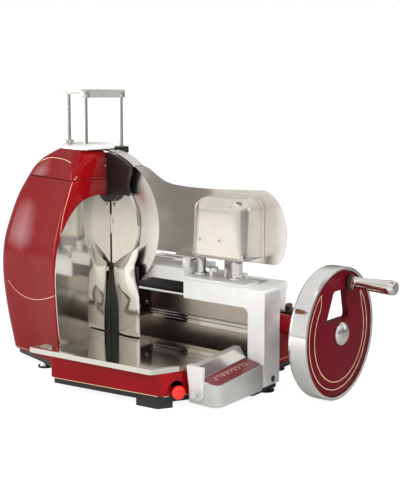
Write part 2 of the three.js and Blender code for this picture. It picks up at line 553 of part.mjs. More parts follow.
// Each rail is a round bar on two end posts.
function rails() {
  RAIL_YS.forEach((y, i) => {
    const post = (x) => box(x, x + 14, y - RAIL_R - 3, y + RAIL_R + 3, BASE_TOP + SEAT, RAIL_Z + RAIL_R + 2);
    piece(i ? 'rear_rail' : 'front_rail', join(rodX(y, RAIL_Z, RAIL_R, RAIL_X0 + 2, RAIL_X1 - 2),
      post(RAIL_X0), post(RAIL_X1 - 14)), chrome());
  });
}
rails();

const GUARD_BACK = BASE_BACK - 3, GUARD_SHEET = 3, GUARD_TOP = 176;

// Sheet behind the rails, with a foot along the base's rear edge
function railGuard() {
  const y = GUARD_BACK - GUARD_SHEET, low = BASE_TOP + SEAT;
  const profile = polygon([[y - 4, low], [GUARD_BACK, low], [GUARD_BACK, GUARD_TOP], [y, GUARD_TOP],
    [y, low + 3], [y - 4, low + 3]]);
  piece('rail_guard', prismX(profile, RAIL_X0, RAIL_X1), black());
}
railGuard();

// Thickness block with its sloping scale, bracket and knob

const THICK_KNOB = { x: 66, z: 38, r: 8.5 };

// The block's desk rises away from the person and to the left; a ridge stands along its left edge.
function thicknessBlock() {
  const plan = (i, r) => rounded([[BLOCK_LEFT, BLOCK_FRONT + i, 2], [BLOCK_RIGHT - i, BLOCK_FRONT + i, r],
    [BLOCK_RIGHT - i, BLOCK_BACK - i, 3], [BLOCK_LEFT, BLOCK_BACK - i, 2]]);
  // Solid between two outlines in X and Z, each at its own Y.
  const drawn = (first, y0, second, y1) => {
    const ring = (points, y) => points.map(([x, z]) => new THREE.Vector3(x, z, -y));
    return loft([ring(first, y0), ring(second, y1)]).applyMatrix4(TO_Y);
  };
  const front = BLOCK_FRONT - 1, back = BLOCK_BACK + 1;
  const low = BLOCK_LOW + SEAT;
  const profile = ([right, left, ridge]) => [[BLOCK_LEFT, low], [BLOCK_RIGHT + 1, low],
    [BLOCK_RIGHT + 1, right], [DESK_LEFT, left], [RIDGE_X, ridge], [BLOCK_LEFT, ridge]];
  piece('thickness_block', common(prismZ(plan(0, 18), 0, DESK_FAR[2] + 20, 8),
    drawn(profile(DESK_FAR), back, profile(DESK_NEAR), front)), cast());
  const sheet = ([right, left]) => {
    const at = (x) => left + (right - left) * (x - DESK_LEFT) / (BLOCK_RIGHT + 1 - DESK_LEFT) + SEAT;
    const x0 = DESK_LEFT + 2, x1 = BLOCK_RIGHT + 1;
    return [[x0, at(x0)], [x1, at(x1)], [x1, at(x1) + 1.2], [x0, at(x0) + 1.2]];
  };
  piece('scale_plate', common(prismZ(plan(3, 16), 0, DESK_FAR[2] + 20, 8),
    drawn(sheet(DESK_NEAR), front, sheet(DESK_FAR), back)), material(0x7a0d14, 0.3, 0));

  const { x, z, r } = THICK_KNOB, face = BLOCK_FRONT - SEAT, top = DESK_NEAR[2] + 2, plateT = 6;
  const plate = rounded([[x - 16, z - 13, 12], [x + 12, z - 13, 12], [x + 16, top + 3, 4],
    [BLOCK_LEFT, top + 3, 4]]);
  const flange = box(BLOCK_LEFT + 1, RIDGE_X - 2, face - 3, face + 8, top, top + 3);
  piece('lever_bracket', cut(join(prismY(plate, face - plateT, face, 6), flange),
    rodY(x, z, 3 + SEAT, face - 10, face + 1, 14)), cast());
  piece('thickness_knob', turnedY([[0, face - 19], [r - 2, face - 19], [r, face - 17], [r, face - 9],
    [r - 3, face - plateT - SEAT], [3, face - plateT - SEAT], [3, face - 0.5], [0, face - 0.5]], x, z, 14),
  chrome());
}
thicknessBlock();

function feet() {
  const cone = (name, x, y, top, mat = chrome()) => piece(name, turnedZ([[0, 0], [FOOT_R, 0], [FOOT_R, 3.5],
    [FOOT_R - 4, 4], [8, top - SEAT], [0, top - SEAT]], x, y, 14), mat);
  cone('foot_front_left', -400, 66, PLINTH_LOW);
  cone('foot_rear_left', -455, 365, PLINTH_LOW);
  cone('foot_rear_right', 22, 370, PLINTH_LOW);
  cone('foot_right', 91, 225, LEG_FOOT_H);
  piece('foot_front', prismZ(rounded([[-60, -12, 4], [-8, -6, 4], [10, 22, 4], [-60, 22, 4]]),
    0, PLINTH_LOW - SEAT, 4), black());
}
feet();

// Flywheel, shafts and gear case

function bevelGear(phase) {
  const shape = gearShape(BEVEL_TEETH, BEVEL_R * 2 / BEVEL_TEETH, phase, MESH_SLACK);
  const outline = shape.getPoints().slice(0, -1);
  const ring = (r) => outline.map((p) => new THREE.Vector3(p.x * r / BEVEL_R, p.y * r / BEVEL_R, r));
  return loft([ring(BEVEL_INNER), ring(BEVEL_R)]);
}

function shafts() {
  const inner = CROSS_X + BEVEL_INNER + 2, outer = WHEEL_X - 2;
  const wheelBevel = bevelGear(0).applyMatrix4(TO_X).translate(CROSS_X, AXIS_Y, AXIS_Z);
  piece('flywheel_shaft', join(rodX(AXIS_Y, AXIS_Z, SHAFT_R, inner, outer), wheelBevel), brushed());
  const crossBevel = bevelGear(Math.PI / BEVEL_TEETH).applyMatrix4(TO_Y).translate(CROSS_X, AXIS_Y, AXIS_Z);
  piece('cross_shaft', join(rodY(CROSS_X, AXIS_Z, SHAFT_R, GEAR_Y0 - 6, AXIS_Y - BEVEL_INNER - 2),
    crossBevel), brushed());
}
shafts();

const CASE_WALL = 5, CASE_TOP = BAR_LOW - 1.6, WHEEL_HUB_R = 20;

function gearCase() {
  const reach = BEVEL_R + 6, x0 = CROSS_X - reach, x1 = CROSS_X + reach + 6;
  const y0 = AXIS_Y - reach - 3, y1 = AXIS_Y + reach, low = BASE_TOP + SEAT;
  const shell = cut(
    prismZ(rect(x0 - CASE_WALL, x1 + CASE_WALL, y0 - CASE_WALL, y1 + CASE_WALL, 10), low, CASE_TOP, 4),
    box(x0, x1, y0, y1, low - 5, CASE_TOP - CASE_WALL));
  const caseEnd = x1 + 1, thin = TUNNEL_R - 4, end = WHEEL_X - RIM_T - 31;
  const tube = join(shell, rodX(AXIS_Y, AXIS_Z, thin, caseEnd, BASE_RIGHT + 1.5, 20),
    box(caseEnd, BASE_RIGHT - 1, AXIS_Y - 9, AXIS_Y + 9, low, AXIS_Z),
    turnedX([[0, BASE_RIGHT + 1], [TUNNEL_R, BASE_RIGHT + 1], [TUNNEL_R, end - 4], [TUNNEL_R - 4, end],
      [0, end]], AXIS_Y, AXIS_Z, 24));
  piece('gear_case', cut(tube, rodX(AXIS_Y, AXIS_Z, SHAFT_R + RUN, x1 - 3, end + 5, 18),
    rodY(CROSS_X, AXIS_Z, SHAFT_R + RUN, y0 - CASE_WALL - 3, y0 + 3, 18)), enamel());
}
gearCase();

const CRANK_Y = AXIS_Y + CRANK_R * Math.cos(CRANK_ANGLE * Math.PI / 180);
const CRANK_Z = AXIS_Z + CRANK_R * Math.sin(CRANK_ANGLE * Math.PI / 180);

// Window in the wheel above its hub.
function wheelWindow(x0, x1) {
  return prismX(rounded([[AXIS_Y - 56, AXIS_Z + 27, 4], [AXIS_Y + 33, AXIS_Z + 27, 4],
    [AXIS_Y + 20, AXIS_Z + 88, 6], [AXIS_Y - 26, AXIS_Z + 88, 6]]), x0, x1, 4);
}

function flywheel() {
  const face = WHEEL_X, back = WHEEL_X - WHEEL_DEPTH, inner = WHEEL_R - RIM_T, step = face - 8;
  const bore = WHEEL_HUB_R + SEAT;
  piece('flywheel_rim', turnedX([[inner, step - SEAT], [inner, back], [WHEEL_R - 5, back],
    [WHEEL_R - 1.5, back + 4], [WHEEL_R, back + 12], [WHEEL_R, face - 5], [WHEEL_R - 1.5, face],
    [WHEEL_R - 4, face + 2], [FACE_R, face + 1], [FACE_R, step - SEAT], [inner, step - SEAT]],
  AXIS_Y, AXIS_Z, 40), chrome());
  const web = step - WEB_T;
  const disc = turnedX([[bore, web - 6], [WHEEL_HUB_R + 16, web - 6], [WHEEL_HUB_R + 28, web],
    [inner - SEAT, web], [inner - SEAT, step], [FACE_R - SEAT, step], [FACE_R - SEAT, step + 3],
    [FACE_R - 27, face - 1], [bore, face], [bore, web - 6]], AXIS_Y, AXIS_Z, 40);
  piece('flywheel_disc', cut(disc, wheelWindow(back, face + 10),
    rodX(CRANK_Y, CRANK_Z, CRANK_PIN_R + SEAT, back, face + 10)), enamel());
  const s = SHAFT_R + SEAT, dome = 24.5;
  piece('flywheel_hub', turnedX([[s, back + 3], [WHEEL_HUB_R, back + 3], [WHEEL_HUB_R, face + SEAT],
    [dome, face + SEAT], [dome - 0.6, face + 4], [19, face + 9], [11, face + 13], [0, face + 14.5],
    [0, face - 1.5], [s, face - 1.5], [s, back + 3]], AXIS_Y, AXIS_Z, 20), chrome());
  const grip = face + 12, tip = grip + GRIP_LENGTH, inPin = face - 13;
  piece('crank_pin', turnedX([[0, inPin], [CRANK_PIN_R, inPin], [CRANK_PIN_R, face + SEAT],
    [CRANK_BOSS_R, face + SEAT], [CRANK_BOSS_R, face + 6], [9.5, grip - SEAT], [CRANK_PIN_R, grip - SEAT],
    [CRANK_PIN_R, tip - 8], [0, tip - 8]], CRANK_Y, CRANK_Z, 14), chrome());
  const bored = CRANK_PIN_R + RUN;
  piece('crank_grip', turnedX([[bored, grip], [12, grip], [13, grip + 4], [11.6, grip + 20],
    [12.4, grip + 44], [GRIP_R, tip - 18], [GRIP_R, tip - 8], [GRIP_R - 2.5, tip - 2], [8, tip],
    [0, tip], [0, tip - 7.5], [bored, tip - 7.5], [bored, grip]], CRANK_Y, CRANK_Z, 16), chrome());
}
flywheel();

// Carriage

function carriage() {
  const inner = BAR_RIGHT - LEG_W;
  const shape = rounded([[BAR_LEFT, BAR_TOP, 3], [BAR_LEFT, BAR_LOW, 3], [inner, BAR_LOW, 14],
    [inner, LEG_LOW, 3], [BAR_RIGHT, LEG_LOW, 3], [BAR_RIGHT, BAR_TOP, 8]]);
  const front = prismY(shape, BAR_FRONT, BAR_BACK, 6);
  const armTop = BAR_LOW + ARM_T, shoeLow = RAIL_Z - 2;
  const arms = [BAR_LEFT + 6, 2].flatMap((x) => [
    box(x, x + ARM_W, BAR_BACK - 2, CARRIAGE_REAR, BAR_LOW, armTop),
    ...RAIL_YS.map((y) => box(x, x + ARM_W, y - 14, y + 14, shoeLow, BAR_LOW + 1)),
  ]);
  const beam = box(BAR_LEFT + 6, 2 + ARM_W, CARRIAGE_REAR - 24, CARRIAGE_REAR, BAR_LOW, armTop);
  const tracks = RAIL_YS.map((y) => rodX(y, RAIL_Z, RAIL_R + RUN, BAR_LEFT - 20, 80, 24));
  piece('carriage_frame', cut(join(front, ...arms, beam), ...tracks), cast());
}
carriage();

// Feed table: plate on the bar with a raised wing to its left, and ears for the clamp lever

const LEVER = { x: -106, z: 252, y0: 211.5, y1: 254.5, r: 7, pin: 4, reach: 102, rod: 4 };

function feedTable() {
  const low = BAR_TOP + SEAT, y0 = BAR_FRONT + 2, edge = BAR_LEFT - 1;
  const wing = rounded([[edge, TABLE_TOP, 0], [TABLE_LEFT, TABLE_TOP, 3], [TABLE_LEFT, 224, 6],
    [-228, 204, 6], [-208, 202, 8], [-198, 212, 8], [edge, 212, 0]]);
  const ear = (a, b) => prismY(rounded([[LEVER.x - 9, TABLE_TOP - 2, 0], [LEVER.x + 8, TABLE_TOP - 2, 0],
    [LEVER.x + 8, LEVER.z + 9, 5], [LEVER.x - 9, LEVER.z + 9, 5]]), a, b, 5);
  const whole = join(prismZ(rect(edge - 3, TABLE_RIGHT, y0, BAR_BACK, 3), low, low + TABLE_T, 3),
    box(edge - 3, TONGUE_RIGHT, BAR_BACK - 5, TABLE_BACK, low, low + TABLE_T),
    prismY(wing, y0, TABLE_BACK, 5), ear(LEVER.y0 - 7, LEVER.y0 - SEAT), ear(LEVER.y1 + SEAT, LEVER.y1 + 7));
  piece('feed_table', cut(whole, rodY(LEVER.x, LEVER.z, LEVER.pin + RUN, 190, 280)), cast());
  const { x, z, rod, reach } = LEVER;
  piece('clamp_lever', join(rodY(x, z, LEVER.r, LEVER.y0, LEVER.y1, 16),
    rodY(x, z, LEVER.pin, LEVER.y0 - 8, LEVER.y1 + 8, 16),
    rodX(LEVER.y0 + 7, z, rod, x - reach, x, 10), rodX(LEVER.y1 - 7, z, rod, x - reach, x, 10),
    rodY(x - reach, z, rod, LEVER.y0 + 3, LEVER.y1 - 3, 10)), chrome());
}
feedTable();

function clamp() {
  const foot = BAR_TOP + SEAT + TABLE_T + SEAT;
  const column = (name, { x, y, r }) => piece(name, turnedZ([[0, foot], [r + 4, foot], [r + 4, foot + 6],
    [r + 2, foot + 8], [r, foot + 9], [r, COLUMN_TOP - 2], [r - 2, COLUMN_TOP], [0, COLUMN_TOP]], x, y, 14),
    chrome());
  column('column_right', COLUMN_RIGHT);
  column('column_left', COLUMN_LEFT);
  const form = (t, low) => {
    const ring = (z, i) => rounded([[HOOD.x0 + t + i, HOOD.y0 + t + i, HOOD.corner - i / 2],
      [HOOD.x1 - t - i, HOOD.y0 + t + i, HOOD.corner - i / 2], [HOOD.x1 - t - i, HOOD.y1 - t, 1],
      [HOOD.x0 + t + i, HOOD.y1 - t, 1]]).getPoints(4).slice(0, -1).map((p) => new THREE.Vector3(p.x, p.y, z));
    const crown = [0, 22, 45, 68, 90].map((d) => d * Math.PI / 180);
    return loft([ring(low, 0), ...crown.map((a) => ring(HOOD.z1 - t - HOOD.r * (1 - Math.sin(a)),
      HOOD.r * (1 - Math.cos(a))))]);
  };
  const { x0, x1, y1, z0, z1, rim, r } = HOOD;
  const flange = prismY(rounded([[x0 - rim, z0, 2], [x1 + rim, z0, 2], [x1 + rim, z1 + rim, r + 6],
    [x0 - rim, z1 + rim, r + 6]]), y1 - HOOD.t + 0.5, y1, 6);
  const bores = [COLUMN_RIGHT, COLUMN_LEFT].map((c) => rodZ(c.x, c.y, c.r + RUN, HOOD.z0 - 5, HOOD.z0 + 30));
  const guide = box(HOOD.x0 + 1, HOOD.x1 - 1, 209, 241, HOOD.z0 + 2, HOOD.z0 + 12);
  piece('clamp_hood', join(cut(form(0, HOOD.z0), form(HOOD.t, HOOD.z0 - 5)), flange, cut(guide, ...bores)),
    mirror());
}
clamp();

// Outline of the fence: corners, and where four more numbers come first, a curve's two guide points.
const FENCE_OUTLINE = [[-330, 252], [-200, 252], [-200, TABLE_TOP + SEAT], [-130, TABLE_TOP + SEAT],
  [-130, 251],
  [-62, 251], [-62, BAR_TOP + TABLE_T + SEAT * 2], [-22, BAR_TOP + TABLE_T + SEAT * 2], [-22, 251], [70, 252],
  [92, 258, 98, 290, 98, 322], [98, 352, 80, 404, 40, 409], [-40, 406, -120, 400, -200, 407],
  [-255, 412, -262, 442, -300, 446], [-330, 448]];

function fence() {
  const s = new THREE.Shape(), [first, ...rest] = FENCE_OUTLINE;
  s.moveTo(...first);
  rest.forEach((p) => (p.length === 2 ? s.lineTo(...p) : s.bezierCurveTo(...p)));
  s.closePath();
  piece('fence', prismY(s, FENCE_Y, FENCE_Y + FENCE_T, 8), mirror());
}
fence();

// Lock lever on the base's right end

const LOCK = { y: 348, z: 98, r: 9, arm: 34 };

function lockLever() {
  const x = BASE_RIGHT + SEAT, top = LOCK.z + LOCK.arm;
  piece('lock_lever', join(rodX(LOCK.y, LOCK.z, LOCK.r, x, x + 12, 16),
    box(x + 4, x + 10, LOCK.y - 6, LOCK.y + 6, LOCK.z, top),
    turnedX([[0, x + 2], [9, x + 2], [11, x + 8], [12, x + 22], [9, x + 30], [0, x + 31]],
      LOCK.y, top + 8, 16)),
  material(BROWN, 0.35, 0));
}
lockLever();

// Sharpener: cap, three rods with their strap and plate, two stones

function sharpener() {
  const bore = (x, y) => rodZ(x, y, ROD_R + RUN, CAP.z0 - 40, CAP.z1 + 5, 12);
  const ring = (z, i) => rounded([[CAP.x0 + i, CAP.front[0] + i, CAP.r], [CAP.x1 - i, CAP.front[1] + i, CAP.r],
    [CAP.x1 - i, CAP.y1 - i, CAP.r], [CAP.x0 + i, CAP.y1 - i, CAP.r]]).getPoints(5).slice(0, -1)
    .map((p) => new THREE.Vector3(p.x, p.y, z));
  const cap = join(loft([ring(CAP.z0 + SEAT, 0), ring(CAP.z0 + 6, 0), ring(CAP.z1 - 4, 3), ring(CAP.z1 - 1, 8),
    ring(CAP.z1, 14)]),
    box(...CAP_ARM.x, ...CAP_ARM.y, CAP.z0 - CAP_ARM.down, CAP.z0 + CAP_ARM.t),
    box(...CAP_ARM.x, CAP.y1 - CAP.r, CAP_ARM.y[0] + 1, CAP.z0 + SEAT, CAP.z0 + CAP_ARM.t));
  piece('housing_cap', cut(cap, bore(ROD_X, ROD_FRONT_Y), bore(ROD_LEFT_X, ROD_FRONT_Y),
    bore(ROD_X, ROD_REAR_Y)), cast());
  const arm = (a, b) => box(ROD_X - 5, ROD_X + 5, a, b, STONE_Z - 4, STONE_Z + 4);
  const low = STONE_Z - 8, pin = 3, front = BLADE_Y - 4.5, rear = BLADE_Y + BLADE_BACK + 1.3;
  piece('front_rod', join(rodZ(ROD_X, ROD_FRONT_Y, ROD_R, low, ROD_TOP, 12),
    arm(ROD_FRONT_Y, front - STONE_T - 1),
    rodY(ROD_X, STONE_Z, pin, front - STONE_T - 2, front - 0.5)), chrome());
  piece('rear_rod', join(rodZ(ROD_X, ROD_REAR_Y, ROD_R, low, ROD_TOP, 12),
    arm(rear + STONE_T + 1, ROD_REAR_Y),
    rodY(ROD_X, STONE_Z, pin, rear + 0.5, rear + STONE_T + 2)), chrome());
  const stone = (name, y0) => piece(name, turnedY(tubeProfile(pin + RUN, STONE_R, y0, y0 + STONE_T),
    ROD_X, STONE_Z, 14), material(0x6d6a66, 0.9, 0));
  stone('front_stone', front - STONE_T);
  stone('rear_stone', rear);
  const z0 = ROD_TOP + SEAT, z1 = z0 + STRAP_H;
  piece('lift_strap', prismX(rounded([[ROD_FRONT_Y - 9, z0, 8], [ROD_REAR_Y + 9, z0, 8],
    [ROD_REAR_Y + 9, z1, 8], [ROD_FRONT_Y - 9, z1, 8]]), ROD_X - 5, ROD_X + 5, 6), brushed());
  piece('left_rod', join(rodZ(ROD_LEFT_X, ROD_FRONT_Y, ROD_R, low, z0 + 9, 12),
    box(ROD_LEFT_X - 9, ROD_X - 5 - SEAT, ROD_FRONT_Y - 8, ROD_FRONT_Y + 8, z0 + 8, z0 + 12)), chrome());
}
sharpener();

// The origin goes to the middle of the bottom of the whole machine.
const bounds = new THREE.Box3().setFromObject(root);
root.position.set(-(bounds.min.x + bounds.max.x) / 2, -(bounds.min.y + bounds.max.y) / 2, -bounds.min.z);
root.updateMatrixWorld(true);

export default root;
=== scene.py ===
"""Looks of a hand crank meat slicer: red gloss enamel with gold lines, polished steel, satin aluminium."""

import bpy
import bmesh
import json
import math
from mathutils import Matrix, Vector
from mathutils.bvhtree import BVHTree


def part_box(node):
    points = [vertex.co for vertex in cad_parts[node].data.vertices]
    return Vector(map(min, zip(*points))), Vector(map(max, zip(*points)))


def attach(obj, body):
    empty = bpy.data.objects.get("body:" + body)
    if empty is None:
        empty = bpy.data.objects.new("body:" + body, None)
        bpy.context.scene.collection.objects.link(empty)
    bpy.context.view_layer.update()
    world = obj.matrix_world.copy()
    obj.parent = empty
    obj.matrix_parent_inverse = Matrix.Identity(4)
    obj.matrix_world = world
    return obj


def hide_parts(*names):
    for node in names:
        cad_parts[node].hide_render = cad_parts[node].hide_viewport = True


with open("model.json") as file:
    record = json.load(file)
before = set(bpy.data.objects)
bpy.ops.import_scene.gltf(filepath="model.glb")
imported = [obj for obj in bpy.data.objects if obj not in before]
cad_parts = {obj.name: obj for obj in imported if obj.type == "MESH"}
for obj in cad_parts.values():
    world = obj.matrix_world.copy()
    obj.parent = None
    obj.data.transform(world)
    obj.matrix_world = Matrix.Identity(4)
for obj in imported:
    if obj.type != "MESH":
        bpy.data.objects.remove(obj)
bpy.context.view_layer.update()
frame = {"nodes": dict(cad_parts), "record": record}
scene = bpy.context.scene

# Machine frame in millimetres: X to the flywheel, Y away from the person, Z up. The part's own frame is in
# metres and lies beside it; the axes of the blade and the wheel tell how far.
MM = 1000
BLADE_X = -315
AXIS_Y, AXIS_Z = 262, 137


def middle(piece, k):
    """Middle of a CAD piece on one axis, in millimetres."""
    low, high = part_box(piece)
    return (low[k] + high[k]) / 2 * MM


SHIFT = (middle("blade_shaft", 0) - BLADE_X, middle("flywheel_hub", 1) - AXIS_Y, 0)


def at(x, y, z):
    """A machine point in the part's frame."""
    return Vector(((x + SHIFT[0]) / MM, (y + SHIFT[1]) / MM, (z + SHIFT[2]) / MM))


# Camera

FRAME_W, FRAME_H = 400, 500            # the photograph's pixels
FOCAL = 964.48                         # in the same pixels
SHIFT_PX = 50                          # how far the frame is moved up
CAMERA_AT = (1179.85, -1391.98, 612.86)   # a machine point
AZIMUTH, PITCH = 0.663, math.radians(6.326)
LOOK = Vector((-math.sin(AZIMUTH) * math.cos(PITCH), math.cos(AZIMUTH) * math.cos(PITCH), -math.sin(PITCH)))
CAMERA_TURN = LOOK.to_track_quat("-Z", "Y").to_matrix()


def set_camera():
    data = bpy.data.cameras.new("camera")
    data.sensor_fit = "VERTICAL"
    data.sensor_height = 36
    data.lens = FOCAL / FRAME_H * data.sensor_height
    data.shift_y = -SHIFT_PX / FRAME_H
    data.clip_start = 0.05
    data.clip_end = 60
    obj = bpy.data.objects.new("camera", data)
    scene.collection.objects.link(obj)
    obj.location = at(*CAMERA_AT)
    obj.rotation_euler = LOOK.to_track_quat("-Z", "Y").to_euler()
    scene.camera = obj
    scene.view_settings.view_transform = "Standard"
    return obj


camera = set_camera()


def sight(u, v):
    """Direction from the camera through a pixel of the photograph."""
    ahead = Vector(((u - FRAME_W / 2) / FOCAL, (FRAME_H / 2 - SHIFT_PX - v) / FOCAL, -1))
    return (CAMERA_TURN @ ahead).normalized()


# Materials

def new_material(name):
    """A new material, its node tree and its surface shader."""
    mat = bpy.data.materials.new(name)
    mat.use_nodes = True
    tree = mat.node_tree
    return mat, tree, tree.nodes["Principled BSDF"]


def node(tree, kind, inputs=None, **props):
    """A new shader node with its properties and the values of its inputs."""
    n = tree.nodes.new(kind)
    for key, value in props.items():
        setattr(n, key, value)
    for key, value in (inputs or {}).items():
        n.inputs[key].default_value = value
    return n


def coords(tree, scale=(1, 1, 1)):
    """Object coordinates in metres, stretched."""
    tex = node(tree, "ShaderNodeTexCoord")
    mapping = node(tree, "ShaderNodeMapping", {"Scale": scale})
    tree.links.new(tex.outputs["Object"], mapping.inputs["Vector"])
    return mapping.outputs["Vector"]


def ramp(tree, fac, stops):
    """Colour of a factor, between stops of (position, colour without alpha)."""
    n = node(tree, "ShaderNodeValToRGB")
    while len(n.color_ramp.elements) < len(stops):
        n.color_ramp.elements.new(0.5)
    for element, (position, colour) in zip(n.color_ramp.elements, stops):
        element.position = position
        element.color = (*colour, 1)
    tree.links.new(fac, n.inputs["Fac"])
    return n.outputs["Color"]


def grey(v):
    return (v, v, v)


def noise(tree, vector, scale, detail=3, roughness=0.5):
    n = node(tree, "ShaderNodeTexNoise", {"Scale": scale, "Detail": detail, "Roughness": roughness})
    tree.links.new(vector, n.inputs["Vector"])
    return n.outputs["Fac"]


def bump(tree, shader, height, strength, distance):
    n = node(tree, "ShaderNodeBump", {"Strength": strength, "Distance": distance})
    tree.links.new(height, n.inputs["Height"])
    tree.links.new(n.outputs["Normal"], shader.inputs["Normal"])


def clouds(tree, shader, fac, dark, colour):
    """Base colour that drifts between a darker tone and the colour."""
    tree.links.new(ramp(tree, fac, [(0.3, dark), (0.7, colour)]), shader.inputs["Base Color"])


def darker(colour, k):
    return [c * k for c in colour]


def roughness(tree, shader, fac, low, high, start=0.3):
    tree.links.new(ramp(tree, fac, [(start, grey(low)), (0.75, grey(high))]), shader.inputs["Roughness"])


def enamel(name, colour, dark, coat=0.42):
    """Gloss enamel: deep colour, slight cloudiness, fine orange peel under a clear coat."""
    mat, tree, shader = new_material(name)
    place = coords(tree)
    clouds(tree, shader, noise(tree, place, 9, 4), dark, colour)
    roughness(tree, shader, noise(tree, place, 60, 3), 0.16, 0.24, 0.35)
    shader.inputs["Specular IOR Level"].default_value = 0.0
    shader.inputs["Coat Weight"].default_value = coat
    shader.inputs["Coat Roughness"].default_value = 0.05
    bump(tree, shader, noise(tree, place, 320, 2), 0.02, 0.0004)
    return mat


def lean(tree, shader, offset):
    """Turn a mirror's shading normal by a small offset, as on a plate that isn't dead flat."""
    geometry = node(tree, "ShaderNodeNewGeometry")
    turned = node(tree, "ShaderNodeVectorMath", {1: offset}, operation="ADD")
    unit = node(tree, "ShaderNodeVectorMath", operation="NORMALIZE")
    tree.links.new(geometry.outputs["Normal"], turned.inputs[0])
    tree.links.new(turned.outputs["Vector"], unit.inputs[0])
    normal = shader.inputs["Normal"]
    if normal.is_linked:
        normal = normal.links[0].from_node.inputs["Normal"]
    tree.links.new(unit.outputs["Vector"], normal)


def polished(name, colour, low, high, wave=0.0, lines=(40, 40, 900), offset=None):
    """Polished metal: faint polishing lines in the roughness, smears in the tone, a slight waviness."""
    mat, tree, shader = new_material(name)
    place = coords(tree)
    shader.inputs["Metallic"].default_value = 1.0
    clouds(tree, shader, noise(tree, place, 14, 4, 0.6), darker(colour, 0.93), colour)
    roughness(tree, shader, noise(tree, coords(tree, lines), 1, 3), low, high)
    if wave:
        bump(tree, shader, noise(tree, place, 11, 2), wave, 0.004)
    if offset:
        lean(tree, shader, offset)
    return mat


def satin(name, colour, grain, low, high, strength, metallic=1.0):
    """Blasted and lightly brushed aluminium."""
    mat, tree, shader = new_material(name)
    place = coords(tree)
    shader.inputs["Metallic"].default_value = metallic
    clouds(tree, shader, noise(tree, place, 30, 5, 0.65), darker(colour, 0.9), colour)
    roughness(tree, shader, noise(tree, place, grain, 4), low, high)
    bump(tree, shader, noise(tree, place, grain * 1.6, 3, 0.6), strength, 0.0003)
    return mat


def plain(name, colour, rough, grain=400, strength=0.08, coat=0.0):
    """Moulded plastic, rubber, stone or paint with a slight grain."""
    mat, tree, shader = new_material(name)
    place = coords(tree)
    clouds(tree, shader, noise(tree, place, 40, 4), darker(colour, 0.85), colour)
    roughness(tree, shader, noise(tree, place, 90, 3), rough * 0.85, rough * 1.15)
    shader.inputs["Coat Weight"].default_value = coat
    bump(tree, shader, noise(tree, place, grain, 2), strength, 0.0003)
    return mat


MATS = {
    "red_enamel": enamel("red_enamel", (0.235, 0.002, 0.0045), (0.19, 0.002, 0.004)),
    "black_enamel": plain("black_enamel", (0.009, 0.009, 0.009), 0.38, coat=0.15),
    "mirror_steel": polished("mirror_steel", (0.80, 0.78, 0.74), 0.04, 0.10, 0.03),
    "steel": polished("steel", (0.70, 0.69, 0.67), 0.22, 0.36),
    "chrome": polished("chrome", (0.86, 0.86, 0.86), 0.03, 0.08),
    "cast_aluminium": satin("cast_aluminium", (0.80, 0.80, 0.79), 700, 0.30, 0.42, 0.08, 0.55),
    "red_plastic": plain("red_plastic", (0.75, 0.012, 0.004), 0.3, coat=0.4),
    "scale_red": plain("scale_red", (0.15, 0.004, 0.012), 0.35, coat=0.3),
    "brown_knob": plain("brown_knob", (0.035, 0.012, 0.008), 0.2, coat=0.8),
    "stone": plain("stone", (0.16, 0.15, 0.14), 0.9, grain=1500, strength=0.5),
    "rubber": plain("rubber", (0.02, 0.02, 0.02), 0.6),
}
GOLD = satin("gold_line", (0.90, 0.68, 0.42), 900, 0.35, 0.5, 0.03, 0.5)
PALE = plain("pale_print", (0.62, 0.50, 0.40), 0.5)
BLADE_STEEL = polished("blade_steel", (0.78, 0.77, 0.75), 0.20, 0.28, 0.02)
PLATE_STEEL = polished("plate_steel", (0.82, 0.80, 0.75), 0.05, 0.10, 0.04, (30, 30, 700))
WALL_STEEL = polished("wall_steel", (0.82, 0.80, 0.75), 0.05, 0.10, 0.04, (30, 30, 700), (0, -0.06, 0))
HOOD_NICKEL = satin("hood_nickel", (0.78, 0.75, 0.70), 260, 0.12, 0.20, 0.02, 0.9)
FENCE_STEEL = polished("fence_steel", (0.93, 0.91, 0.87), 0.22, 0.27, 0.01, (30, 700, 30))
BRASS = polished("brass_collar", (0.62, 0.42, 0.22), 0.12, 0.2)
GRIP_STEEL = polished("grip_steel", (0.84, 0.82, 0.80), 0.06, 0.14, 0.02, (900, 40, 40))
CAP_METAL = satin("cap_metal", (0.78, 0.78, 0.76), 500, 0.30, 0.42, 0.03, 0.4)
DISC_ENAMEL = enamel("disc_enamel", (0.078, 0.002, 0.006), (0.062, 0.002, 0.005), 0.3)
BAR_METAL = satin("bar_metal", (0.80, 0.80, 0.79), 700, 0.32, 0.44, 0.06, 0.2)
# Darker copy of the cast aluminium for the thickness block: painted shade for the floor's shadow and dark
# reflection on it
SHADED_DESK_METAL = satin("desk_metal_shaded", (0.62, 0.63, 0.62), 700, 0.28, 0.40, 0.08, 0.7)
ROD_STEEL = polished("rod_steel", (0.86, 0.84, 0.81), 0.12, 0.18, 0.0, (300, 300, 5))
PANEL_STEEL = satin("panel_steel", (0.60, 0.55, 0.49), 600, 0.24, 0.34, 0.02)
SATIN_STEEL = satin("satin_steel", (0.74, 0.74, 0.73), 500, 0.26, 0.36, 0.03)
SLOT_OF = {s["node"]: s["material_slot"] for s in frame["record"]["subparts"]}
SPECIAL = {
    "blade": BLADE_STEEL, "wall_plate": WALL_STEEL, "wall_panel": PANEL_STEEL, "fence": FENCE_STEEL,
    "slice_tray": PLATE_STEEL, "slice_deflector": PLATE_STEEL, "rail_strip": PLATE_STEEL,
    "front_rod": ROD_STEEL, "rear_rod": ROD_STEEL, "left_rod": ROD_STEEL, "lift_strap": SATIN_STEEL,
    "flywheel_disc": DISC_ENAMEL, "carriage_frame": BAR_METAL, "thickness_block": SHADED_DESK_METAL,
}
WELD_GAP, JOIN_GAP, SOFT_EDGE = 0.00002, 0.000005, 0.0005       # metres
SHARP = ("drive_gear", "idler_gear", "blade_pinion", "flywheel_shaft", "cross_shaft", "blade")


